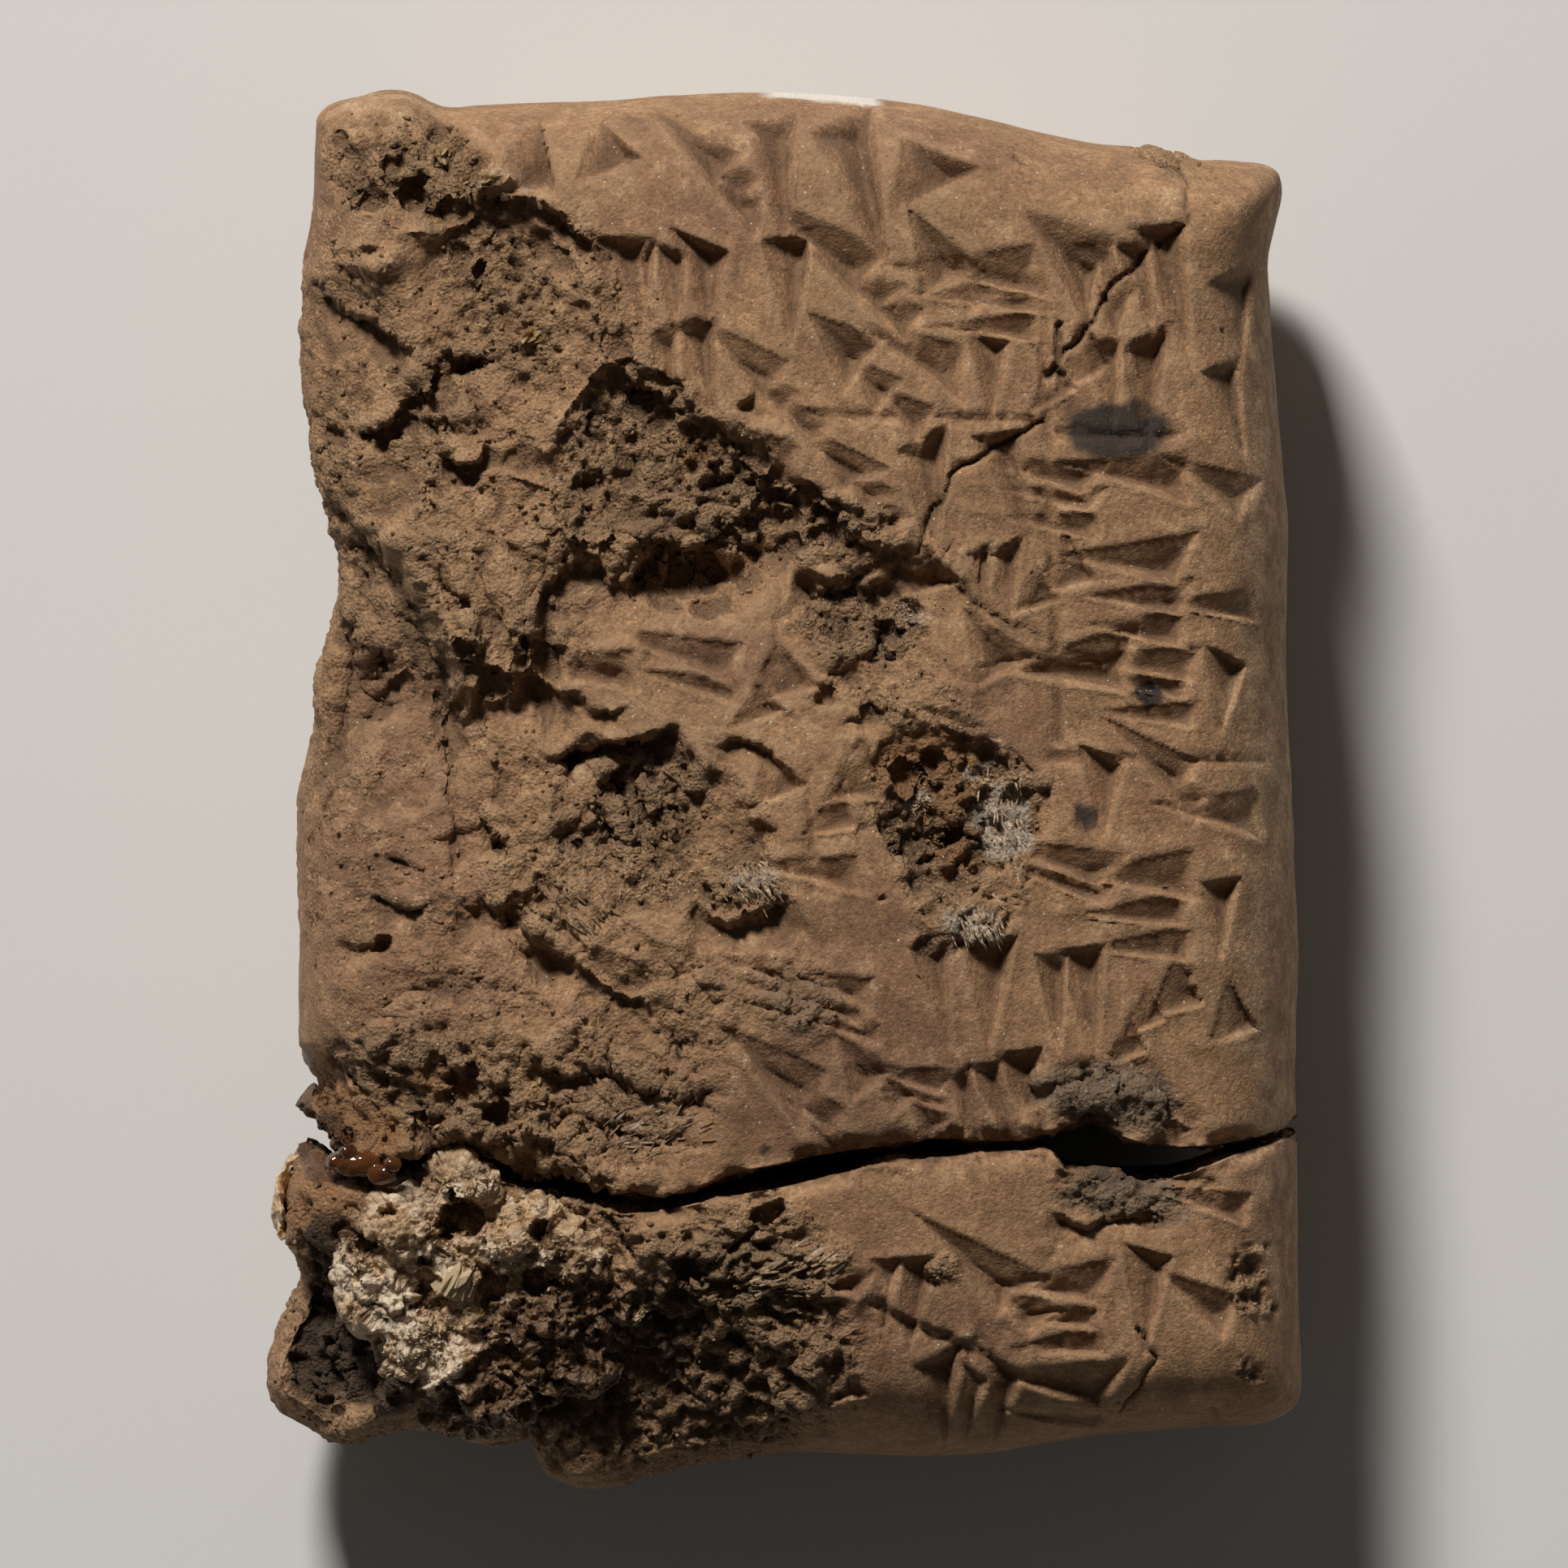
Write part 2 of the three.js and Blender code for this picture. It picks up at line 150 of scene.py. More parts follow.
LEFT_EDGE = [
    (-24.6, -19), (-23.2, -19.6), (-21.6, -19.2), (-19.8, -18.5), (-18.4, -18.2), (-16.8, -19),
    (-15.2, -18.5), (-13.6, -17.7), (-12, -17.5), (-10.5, -18.1), (-6, -18.2), (-1.2, -18.2), (1.8, -17.6),
    (5, -17.1), (7.6, -16.5), (9, -16.9), (10.6, -17.5), (12.4, -17.7), (16, -18.1), (20, -17.7),
    (22.2, -17.6), (23.4, -17.7), (24.6, -17.2),
]
RIGHT_EDGE = [
    (-24.6, 19.3), (-23.4, 19.6), (-22, 19.4), (-13, 19.2), (-6.4, 19.2), (4, 18.8), (10.4, 18.9),
    (14.6, 18.5), (19.8, 18.1), (21.6, 18.4), (23.4, 18.9), (24.6, 18.6),
]
UPPER_LIP = [
    (-20, -10.6), (-18, -11.6), (-16.2, -13.7), (-14.2, -14), (-12.2, -13.3), (-9.5, -14.8), (-8.2, -14.5),
    (-5.1, -15.3), (-1, -14.3), (4.9, -13.2), (8.6, -13.2), (11.2, -12.5), (13, -13.3), (15, -13.5),
    (18.2, -13), (20, -11.8),
]
LOWER_LIP = [
    (-20, -13.2), (-17.6, -13.8), (-16.9, -14.4), (-14.9, -14.9), (-12.2, -14), (-9.2, -15.2), (-5.5, -15.9),
    (-1.6, -15.2), (4.5, -14), (9.8, -13.7), (10.5, -14.4), (14.2, -14.6), (17, -13.7), (20, -12.9),
]


def curve_through(points):
    """A smooth curve through (station, value) points, as a function of the station."""
    stations, values = np.array(points, float).T
    slopes = np.gradient(values)
    slopes[1:-1] = (values[2:] - values[:-2]) / (stations[2:] - stations[:-2])
    slopes[0] = (values[1] - values[0]) / (stations[1] - stations[0])
    slopes[-1] = (values[-1] - values[-2]) / (stations[-1] - stations[-2])

    def value(at):
        at = np.clip(at, stations[0], stations[-1])
        i = np.clip(np.searchsorted(stations, at, side="right") - 1, 0, len(stations) - 2)
        span = stations[i + 1] - stations[i]
        t = (at - stations[i]) / span
        rise = t * t * (3 - 2 * t)
        leave = t * (1 - t) ** 2 * span * slopes[i]
        arrive = t * t * (t - 1) * span * slopes[i + 1]
        return values[i] + (values[i + 1] - values[i]) * rise + leave + arrive
    return value


head_edge, foot_edge = curve_through(HEAD_EDGE), curve_through(FOOT_EDGE)
left_edge, right_edge = curve_through(LEFT_EDGE), curve_through(RIGHT_EDGE)
upper_lip, lower_lip = curve_through(UPPER_LIP), curve_through(LOWER_LIP)


# Grain of the clay: a fixed scatter, soft noise, rounded crumbs and splinters, from places in mm.
NOISE_FADE = 0.55
CRUMB_WIDTH = 0.72


def scatter(n, salt):
    """A fixed number from 0 to 1 for each whole number."""
    wild = np.sin(n * 12.9898 + salt * 78.233) * 43758.5453
    return wild - np.floor(wild)


def lattice(corner, seed):
    """A fixed number from 0 to 1 for each whole-number corner of space."""
    h = (corner[..., 0].astype(np.uint32) * np.uint32(374761393)
         + corner[..., 1].astype(np.uint32) * np.uint32(668265263)
         + corner[..., 2].astype(np.uint32) * np.uint32(2246822519)
         + np.uint32(seed * 3266489917 % 2 ** 32))
    h = (h ^ (h >> np.uint32(13))) * np.uint32(1274126177)
    h = (h ^ (h >> np.uint32(15))) * np.uint32(2654435761)
    return (h ^ (h >> np.uint32(16))).astype(np.float64) / 2 ** 32


def soft_noise(place, size, seed):
    """Smooth noise from -1 to 1 whose lumps are about as wide as size."""
    at = place / size
    base = np.floor(at).astype(np.int64)
    part = at - base
    part = part * part * part * (part * (part * 6 - 15) + 10)
    total = 0.0
    for i, j, k in itertools.product((0, 1), repeat=3):
        weight = (np.abs(1 - i - part[..., 0]) * np.abs(1 - j - part[..., 1])
                  * np.abs(1 - k - part[..., 2]))
        total = total + weight * lattice(base + (i, j, k), seed)
    return 2 * total - 1


def rough_noise(place, size, seed, layers=4):
    """Layers of soft noise, each half as wide as the one before and weaker."""
    total, share = 0.0, 1.0
    for layer in range(layers):
        total = total + share * soft_noise(place, size / 2 ** layer, seed + layer)
        share *= NOISE_FADE
    return total


def nearby_spots(at, seed):
    """One scattered spot in each of the 27 cells round every place: the cell and the way to the spot."""
    base = np.floor(at).astype(np.int64)
    for step in itertools.product((-1, 0, 1), repeat=3):
        cell = base + step
        spot = np.stack([lattice(cell, seed + axis) for axis in (11, 12, 13)], axis=-1)
        yield cell, cell + spot - at


def crumbs(place, size, seed):
    """Distance to the nearest of scattered spots that are about size apart, as a share of size."""
    near = np.full(place.shape[:-1], 9.0)
    for _, way in nearby_spots(place / size, seed):
        near = np.minimum(near, np.linalg.norm(way, axis=-1))
    return near


def grains(place, size, seed):
    """Heights of close-packed round grains, from 0 in the gaps to 1 on top."""
    return np.sqrt(np.clip(1 - (crumbs(place, size, seed) / CRUMB_WIDTH) ** 2, 0, 1))


def splinters(place, size, seed):
    """Heights of small flat faces, each tilted its own way, as on broken crystal or dry clay."""
    near = np.full(place.shape[:-1], 9.0)
    height = np.zeros(place.shape[:-1])
    for cell, way in nearby_spots(place / size, seed):
        tilt = np.stack([lattice(cell, seed + axis) for axis in (14, 15, 16)], axis=-1) * 2 - 1
        far = np.linalg.norm(way, axis=-1)
        closer = far < near
        height = np.where(closer, (tilt * way).sum(axis=-1) + 0.3 * tilt[..., 0], height)
        near = np.where(closer, far, near)
    return height


def flat_places(x, y):
    """Places on the face as seen from above, for noise that doesn't change with height."""
    return np.stack([x, y, np.zeros_like(x)], axis=-1)


# Broad losses of the face: centre, reach, turn, depth, lean, rim, crumb
HOLLOWS = {
    "head_corner": ((-13.7, 22.8), (4, 2), -18, 1, (0, 0), 2, 0.35),
    "shoulder": ((-11.4, 16.6), (4.8, 4.2), 90, 1.3, (0.3, 0), 3, 0.4),
    "left_flake": ((-16.6, 13.6), (6, 4), 90, 1.7, (0.2, 0.2), 4, 0.2),
    "upper_crumble": ((-4.4, 11), (5.6, 3.4), -50, 1.6, (0.5, 0), 3, 0.45),
    "scoop": ((-17.2, 4.4), (7.4, 5), -52, 2.8, (0.1, 0.35), 3, 0.25),
    "smooth_dip": ((-14.6, -1.6), (5.4, 5), 0, 1.3, (0, 0.4), 1, 0.1),
    "middle_crumble": ((-4.6, -1.8), (4.6, 3.4), -20, 1.1, (-0.2, 0.2), 2, 0.5),
    "small_crumble": ((3.2, 5.4), (2.9, 2.2), -30, 0.7, (0, 0), 2, 0.4),
    "salt_pit": ((6.4, -1), (3.7, 3.1), -50, 1.8, (0.2, 0.2), 3, 0.4),
    "fibrous_foot": ((-6, -11.6), (4.8, 3.2), 20, 0.9, (0, 0), 1, 0.35),
    "rusty_corner": ((-15, -12), (4.6, 2.6), 0, 1.2, (-0.3, 0), 1, 0.45),
    "grey_arch": ((12.2, -11.9), (3.6, 1.8), -12, 0.8, (0, 0.2), 2, 0.1),
    "grey_arch_foot": ((13, -15.2), (3.4, 1.5), 0, 0.8, (0, 0), 2, 0.2),
    "crust_bed": ((-11.4, -18), (7, 5.4), -15, 2, (0, 0), 2, 0.5),
    "foot_cavity": ((-16.8, -20.6), (4, 3), 80, 4.4, (-0.2, 0), 2, 0.5),
    "porous_foot": ((-5.2, -22.6), (6.4, 4.8), 10, 3.2, (-0.2, -0.4), 1, 0.6),
}


def within(oval, x, y):
    """Where places lie in a turned oval: along and across it, each 1 at the rim."""
    (east, north), (length, width), turn = oval[:3]
    turn = math.radians(turn)
    x, y = x - east, y - north
    along = (x * math.cos(turn) + y * math.sin(turn)) / length
    across = (y * math.cos(turn) - x * math.sin(turn)) / width
    return along, across


def sunk(hollow, x, y):
    """How much of a hollow's depth is reached, steeper at the rim for a higher rim number."""
    along, across = within(hollow, x, y)
    inside = np.maximum(0, 1 - along ** 2 - across ** 2)
    return 1 - (1 - inside) ** hollow[5]


# Ledges left where flakes came away. The low side lies to the right of each line as it is walked;
# then the drop, the width of its wall, how far off the floor comes up again, and its fluting.
LEDGES = {
    "arc": (
        [(-13.4, 21.6), (-12.2, 21.6), (-10.6, 21.8), (-9.7, 21.8), (-8.8, 21.1), (-7.9, 20.5), (-7.1, 20)],
        1.0, 0.12, 2.2, 0.1),
    "slab": (
        [(-18.1, 19.3), (-17.8, 19), (-17, 18.1), (-16.1, 17.6), (-15.5, 17.4), (-14.8, 16.8),
         (-14.1, 16.3), (-13.6, 16.1)],
        1.0, 0.12, 2.0, 0.1),
    "slab_top": ([(-17.6, 20), (-16.1, 19.6), (-15, 20), (-14.4, 20.4)], 0.4, 0.2, 1.0, 0.1),
    "plate": (
        [(-15.8, 13), (-14.9, 13.1), (-14.5, 13.6), (-13.9, 14.1), (-13.3, 14.5), (-13.4, 15.1),
         (-14, 15.6)],
        0.8, 0.1, 1.6, 0.05),
    "block": ([(-13.3, 13.8), (-13, 12.8), (-12.2, 12), (-11.2, 12.1), (-11, 12.9)], 0.9, 0.15, 1.6, 0.3),
    "recess": ([(-12.5, 16.2), (-12, 15.8), (-11.3, 15.9), (-11, 16.4)], 0.7, 0.25, 0.8, 0.3),
    "crumb_edge": ([(-9.5, 19.1), (-8.3, 18.5), (-7.6, 17.8)], 0.5, 0.15, 0.9, 0.2),
    "stroke_tail": ([(-6.3, 15.3), (-5.3, 14.9), (-4.5, 14.6)], 0.5, 0.12, 0.8, 0.2),
    "diagonal": (
        [(-17.7, 9.8), (-17.3, 8.3), (-16.9, 7.6), (-16.2, 6.5), (-15.5, 5.5), (-14.6, 4.4), (-13.6, 3.5)],
        1.9, 0.9, 7.0, 0.5),
    "under_boulder": (
        [(-13.6, 3.5), (-12.8, 3.7), (-11.7, 3.6), (-11, 3.6), (-10.3, 3.9), (-9.8, 4.5)],
        1.2, 1.1, 3.2, 0.6),
    "fold": (
        [(-9.9, 3.5), (-9.3, 3.7), (-8.3, 3.4), (-7.4, 3.1), (-6.4, 2.6), (-5.7, 3.1)],
        0.55, 0.15, 1.3, 0.1),
    "overhang": (
        [(-8.4, 0), (-8.3, 1), (-7.8, 1.4), (-6, 1.5), (-5, 1.8), (-4.1, 2.3)],
        1.1, 0.12, 2.0, 0.1),
    "overhang_right": ([(-2.9, 1.8), (-1.8, 1.6), (-0.8, 1.3), (-0.1, 0.4)], 0.5, 0.12, 1.2, 0.1),
    "band_foot": (
        [(-8.8, 9.3), (-7.1, 8.9), (-5.3, 9.1), (-3.5, 8.9), (-2.3, 9.1), (-1.4, 9.8), (-0.9, 11),
         (-0.3, 11.9)],
        1.5, 1.6, 4.0, 0.8),
    "band_foot_right": ([(0.3, 8.1), (1.3, 7.7), (2.4, 7.6), (3.3, 8.2), (3.9, 9.2)], 1.0, 0.8, 1.6, 0.7),
    "band_head": (
        [(-6.8, 15.4), (-6, 15.1), (-5.4, 14.8), (-4.6, 14.5), (-3.8, 14.6)],
        0.6, 0.15, 1.5, 0.2),
    "text_edge": ([(-1.2, 13.1), (-1.8, 14), (-1.2, 14.9)], 0.5, 0.2, 1.2, 0.2),
    "west_low": ([(-11.2, -0.7), (-10.8, -1.3), (-10.6, -2.2), (-10.7, -2.9)], 0.7, 0.12, 1.2, 0.1),
    "west_step": ([(-11, -2.8), (-12.2, -3.4)], 0.4, 0.2, 1.2, 0.1),
    "sunken": ([(-11, -3.7), (-10.2, -4.6), (-9.2, -5.4), (-8.3, -6), (-7.4, -7)], 0.8, 0.5, 2.4, 0.5),
    "shell": ([(-7.5, -6.6), (-6.8, -7.5), (-5.7, -8.2), (-5, -7.7)], 0.5, 0.15, 1.2, 0.1),
    "west_wedge": ([(-15.3, -4), (-14.3, -4.6), (-13.5, -4.7), (-13, -4.3)], 0.5, 0.12, 0.9, 0.0),
    "west_wedge_up": ([(-15.1, -2.5), (-14.3, -2.8), (-13.3, -3)], 0.4, 0.12, 0.9, 0.0),
    "west_hole": ([(-16.8, -6.1), (-15.8, -5.8), (-15.2, -5.4)], 0.5, 0.2, 0.8, 0.2),
    "west_crevice": ([(-16.5, -9.9), (-16, -10.6), (-15.1, -11.3)], 0.6, 0.15, 1.0, 0.2),
    "pale_chip": ([(1.9, 2.2), (2.6, 2.6), (3.3, 3.2)], 0.5, 0.1, 1.0, 0.0),
    "lump_foot": ([(-7.2, -0.6), (-6.5, -1), (-5.8, -2.2), (-5.3, -2.9)], 0.8, 0.3, 1.6, 0.3),
    "tuft_foot": ([(-3.5, -4.4), (-2.3, -4.9), (-0.9, -5), (-0, -4)], 0.8, 0.4, 1.4, 0.6),
    "swirl_a": (
        [(-9.8, -9.7), (-8, -10.9), (-6.2, -10.6), (-4.1, -11.4), (-2.3, -11.6)],
        0.5, 0.3, 1.4, 0.6),
    "swirl_b": ([(-8, -13), (-6.5, -12.4), (-5, -13), (-3.2, -12.6)], 0.4, 0.3, 1.2, 0.6),
    "grey_head": (
        [(8.5, -12.2), (10, -11.4), (11.8, -10.8), (13.6, -11.4), (15.1, -12.6)],
        -0.5, 0.3, 2.0, 0.4),
    "lower_step": ([(2.8, -18.7), (4.3, -19.6), (6.1, -20.2), (7.9, -20.7)], 0.4, 0.4, 1.6, 0.0),
    "lower_grey": ([(9.7, -15.7), (11.2, -16.3), (13, -15.7), (14.5, -16.2)], 0.5, 0.3, 1.2, 0.5),
}


def along_path(x, y, points):
    """Gap to a bent line, the side of it each place is on (+1 right-hand), mm walked, its length."""
    gap, side, walked = np.full_like(x, 1e9), np.zeros_like(x), np.zeros_like(x)
    done = 0.0
    for start, end in zip(points, points[1:]):
        run = np.subtract(end, start)
        length = math.hypot(*run)
        t = np.clip(((x - start[0]) * run[0] + (y - start[1]) * run[1]) / length ** 2, 0, 1)
        dx, dy = x - start[0] - t * run[0], y - start[1] - t * run[1]
        off = np.hypot(dx, dy)
        closer = off < gap
        gap = np.where(closer, off, gap)
        side = np.where(closer, np.sign(run[1] * dx - run[0] * dy), side)
        walked = np.where(closer, done + t * length, walked)
        done += length
    return gap, side, walked, done


LEDGE_END = 0.8
FLUTES = ((0.34, 1, 77), (0.17, 0.6, 78))        # width, share and seed
LEDGE_SWELL, SWELL_REACH = 0.16, 0.9


def ledge_loss(x, y):
    """How far the face drops at the ledges: a fluted wall, a floor that rises again, a swollen lip."""
    loss = np.zeros_like(x)
    for points, drop, wall, fade, flutes in LEDGES.values():
        reach = 3 * fade + 1
        low, high = np.min(points, axis=0) - reach, np.max(points, axis=0) + reach
        close = (x > low[0]) & (x < high[0]) & (y > low[1]) & (y < high[1])
        gap, side, walked, length = along_path(x[close], y[close], points)
        off = gap * side
        streak = sum(share * soft_noise(np.stack([walked, off * 0.2, off * 0], -1), width, seed)
                     for width, share, seed in FLUTES)
        ends = np.clip(walked / LEDGE_END, 0, 1) * np.clip((length - walked) / LEDGE_END, 0, 1)
        part = np.clip(off / wall + 0.35 * flutes * streak * (off > -0.1), 0, 1)
        part = part * np.exp(-np.clip(off - wall, 0, None) / fade)
        swell = LEDGE_SWELL * np.exp(-np.clip(-off, 0, None) / SWELL_REACH) * (off < 0)
        loss[close] += ends * drop * (part - swell)
    return loss


# Small deep holes and raised lumps: place, radius and depth (lumps have a depth below nothing)
PITS = [
    ((-16.7, 23.8), 0.34, 0.5), ((-14.4, 23.3), 0.42, 0.6), ((-15.5, 21.8), 0.4, 0.6),
    ((-13.6, 21.9), 0.55, 0.7), ((-12.9, 24.6), 0.45, 0.5), ((-11.5, 19.1), 0.22, 0.6),
    ((-12, 15.5), 0.55, 0.8), ((-9.5, 16.9), 0.14, 0.4), ((-16.9, 12.8), 0.55, 0.9),
    ((-12, 5.1), 0.4, 0.7), ((-10.8, 3.5), 0.6, 0.7), ((-7.9, 0.8), 0.5, 0.9), ((-2, 8), 0.7, 0.5),
    ((3.8, 5.5), 0.5, 1.0), ((1.6, 3.2), 0.4, 0.5), ((5, -1.9), 0.6, 0.9), ((4.4, 0.2), 0.5, 0.9),
    ((6.4, -1.8), 0.55, 0.8), ((5.5, 0.9), 0.5, 0.7), ((-15.1, -6), 0.34, 0.9),
    ((-10.6, -2.4), 0.45, 0.9), ((-9.6, -4.9), 0.9, 0.8), ((-11.8, -11.2), 0.8, 0.8),
    ((-15.6, -10.9), 0.4, 0.7), ((-6.3, -0.3), 0.45, 0.8), ((-5.4, -1.6), 0.4, 0.7),
    ((8.4, 23.3), 0.2, 0.5), ((5.5, -18.4), 0.35, 0.5), ((-3.5, -18), 0.5, 0.9), ((-0.8, -16), 0.5, 0.6),
    ((-1.8, -20.2), 0.6, 0.8), ((3.6, -4.3), 0.2, 0.3), ((-10.4, -12.7), 0.7, 0.7),
    ((-13.4, -13), 0.6, 0.7),
]
LUMPS = [
    ((-12.2, 5.4), (1.4, 1.0), 0.9), ((-12.1, 13.4), (1.0, 0.7), 0.5), ((-11, 22.3), (1.2, 0.35), 0.6),
    ((-6.2, 5), (1.2, 0.9), 0.25), ((-6.6, 0.5), (0.9, 0.6), 0.7), ((-5, -0.6), (0.9, 0.9), 0.6),
    ((-1.8, -3.6), (1.3, 0.9), 0.7), ((0.7, 9.8), (1.6, 0.9), 0.5), ((2.2, 5), (1.2, 0.9), 0.4),
    ((-14.9, 19.1), (2.0, 1.0), 0.35), ((-9.2, -5.5), (0.4, 0.3), 0.5), ((-9.5, -13), (1.2, 0.8), 0.5),
]


def rounds_loss(x, y):
    """How far the face drops at the pits, less how far it rises at the lumps."""
    loss = np.zeros_like(x)
    for (east, north), radius, depth in PITS:
        gap = np.hypot(x - east, y - north) / radius
        loss += depth * np.sqrt(np.clip(1 - gap ** 2, 0, 1))
    for (east, north), (wide, tall), rise in LUMPS:
        gap = np.hypot((x - east) / wide, (y - north) / tall)
        loss -= rise * np.clip(1 - gap ** 2, 0, 1) ** 0.7
    return loss


# Stretches of crumbly broken clay besides the hollows: place, reach, turn, strength
CRUMBLED = [
    ((-17.6, -16.4), (1.8, 2.4), 0, 0.9), ((-18.4, -20.6), (1.0, 3.2), 0, 0.8),
    ((-15, -23.4), (3.0, 1.0), 0, 0.7), ((-14, 22.7), (3.6, 1.9), -5, 1.0),
    ((-10.4, 17.9), (4.2, 2.2), -62, 1.0), ((-12.2, 14.9), (2.4, 1.8), 0, 0.8),
    ((-4.4, 12.2), (4.6, 3.0), -35, 1.0), ((1.9, 9.5), (3.0, 1.5), -15, 0.9),
    ((2.8, 5.6), (2.6, 1.6), -10, 0.9), ((-8, 10.4), (2.4, 1.8), 0, 0.7),
    ((-16.1, 9.8), (1.5, 4.0), 15, 0.55), ((-5.3, -1), (3.0, 2.4), -30, 1.0),
    ((-2, -3.7), (2.2, 1.3), -20, 0.9), ((-8.3, -3.7), (2.4, 2.4), 0, 0.8),
    ((6.1, -1.3), (3.4, 3.0), -60, 1.0), ((6.7, -5.2), (1.6, 1.2), 0, 0.7),
    ((-12.2, -11.2), (4.6, 2.4), -12, 0.9), ((-6.2, -12.4), (3.8, 2.8), 20, 0.7),
    ((0.4, -8.2), (1.8, 1.9), 0, 0.45), ((11.8, -11.5), (3.4, 1.3), -8, 0.6),
    ((12.4, -15.3), (2.6, 1.0), -6, 0.7), ((17.2, -18.4), (0.7, 1.3), 10, 0.6),
    ((17.4, -21.7), (0.8, 0.5), 0, 0.6), ((-1.1, -17.8), (3.6, 2.6), -10, 0.9),
    ((-3.2, -22.6), (6.4, 3.4), 10, 1.0), ((13.9, 23.3), (2.6, 0.8), -25, 0.5),
    ((5.8, -17.8), (0.8, 0.6), 0, 0.7), ((-14, 13), (5.6, 13), 0, 0.42), ((-13, -3), (6.4, 9.5), 0, 0.36),
    ((-7.2, 17), (2.6, 4.5), 20, 0.4), ((-6, 10.2), (4.5, 4.0), 0, 0.45), ((-7, -3), (5, 5), 0, 0.42),
    ((-8, -10), (6, 4), 0, 0.45), ((-16.8, -13), (2.4, 1.8), 0, 0.9), ((-14.6, 12.2), (4.5, 2.0), 0, 0.6),
    ((-12.2, 9.8), (5.5, 3.4), -20, 0.5), ((-10.4, 6.2), (4.0, 3.6), 0, 0.45),
    ((-8, 16.1), (3.0, 2.4), -30, 0.5), ((-15.5, 17), (3.0, 3.4), 0, 0.45),
    ((-9.8, -1), (3.6, 3.0), 0, 0.45), ((-14.9, 5.6), (1.6, 3.0), 20, 0.5),
    ((4.9, 3.2), (2.6, 1.6), -20, 0.7), ((-2.6, -7.9), (3.4, 2.0), 0, 0.35),
    ((-11, -19), (9.0, 7.0), 0, 0.9), ((-15.8, -20.8), (3.6, 4.4), 0, 1.0),
    ((-13.4, -7.6), (4.0, 2.6), 0, 0.45), ((-14, -1), (3.0, 2.2), 0, 0.35),
]
# Stretches where the clay has come away in fibres: place, reach, turn, lie of the fibres, strength
FIBROUS = [
    ((-5.9, -12.1), (3.9, 3.0), 20, 28, 1.0), ((-8, -4.9), (2.4, 1.5), -40, -48, 0.8),
    ((-1.8, -4.2), (1.3, 1.0), 0, 75, 0.6), ((7.2, -4.8), (1.6, 1.2), 0, 35, 0.9),
    ((-1.4, -18.3), (3.4, 2.0), -10, 12, 1.0), ((8.4, -2.8), (0.8, 1.8), 10, 80, 0.9),
    ((6.4, 8.3), (2.6, 0.9), 0, 80, 0.6), ((5.5, 2.9), (2.6, 1.4), -30, -30, 0.6),
]
# Spongy stretches: place, reach, turn, strength. Here the clay is eaten away into
# small caves with thin walls between them.
SPONGY = [
    ((-17.4, -16.6), (1.5, 2.0), 0, 0.8), ((-16.6, -13.2), (2.2, 1.3), 0, 0.8),
    ((6.2, -1.2), (3.0, 2.8), 0, 1.0), ((2.8, 5.5), (2.2, 1.7), 0, 0.9),
    ((-5.4, -0.8), (2.6, 2.3), 0, 0.9), ((-4.4, 12), (3.9, 2.3), -30, 0.9),
    ((-10.4, 17.9), (3.2, 1.9), -60, 0.7), ((1.9, 9.5), (2.4, 1.3), 0, 0.8),
    ((-13.8, 22.6), (2.4, 1.4), 0, 0.8), ((-12, 13.2), (1.6, 1.2), 0, 0.6),
    ((-2.6, -20.6), (5.6, 3.6), 0, 1.0), ((-7.6, -22.4), (4.0, 2.4), 0, 1.0),
    ((-15.6, -20.6), (3.2, 4.0), 0, 1.0), ((-12.4, -11), (4.0, 1.9), 0, 0.7),
    ((-9, -4.2), (2.4, 1.8), 0, 0.6), ((-1.8, -3.7), (1.6, 1.1), 0, 0.7),
    ((12, -11.4), (2.8, 0.7), 0, 0.25), ((12.6, -15.5), (2.6, 0.6), 0, 0.3),
    ((17.2, -18.4), (0.7, 1.3), 10, 0.7), ((0.4, -8.2), (1.6, 1.6), 0, 0.3),
    ((-12.2, 5.2), (2.0, 1.2), 0, 0.5), ((6.6, -5.2), (1.4, 1.0), 0, 0.7),
]
CAVE_SIZES, CAVE_DEPTHS, CAVE_WALL = (1.05, 0.5), (0.62, 0.3), 0.12
FAN_ROOT, FAN_MIDDLE, FAN_REACH = (-3.6, -18.7), (-0.6, -18.3), (3.6, 2.3)
FAN_TURN, FAN_RIBS, FAN_RISE = 5, 7.0, 0.34
FIBRE_SWIRL = 38         # degrees


def sponge(place, x, y):
    """How spongy each place is, and the loss there: round caves of two sizes with thin walls."""
    mask = np.zeros_like(x)
    flat = flat_places(x, y)
    east, north = x + 0.9 * rough_noise(flat, 2.6, 151, 4), y + 0.9 * rough_noise(flat, 2.6, 155, 4)
    for spot, reach, turn, strength in SPONGY:
        along, across = within((spot, reach, turn), east, north)
        mask = np.maximum(mask, strength * np.clip(2.2 * (1.05 - along ** 2 - across ** 2), 0, 1))
    bent = place + 0.16 * np.stack([rough_noise(place, 0.7, seed, 2) for seed in (161, 163, 165)], axis=-1)
    caves = CAVE_DEPTHS[0] * np.clip(1 - crumbs(bent, CAVE_SIZES[0], 171) / 0.55, 0, 1) ** 0.6
    caves = caves + CAVE_DEPTHS[1] * np.clip(1 - crumbs(bent, CAVE_SIZES[1], 175) / 0.5, 0, 1) ** 0.7
    return mask, mask * (caves - CAVE_WALL)


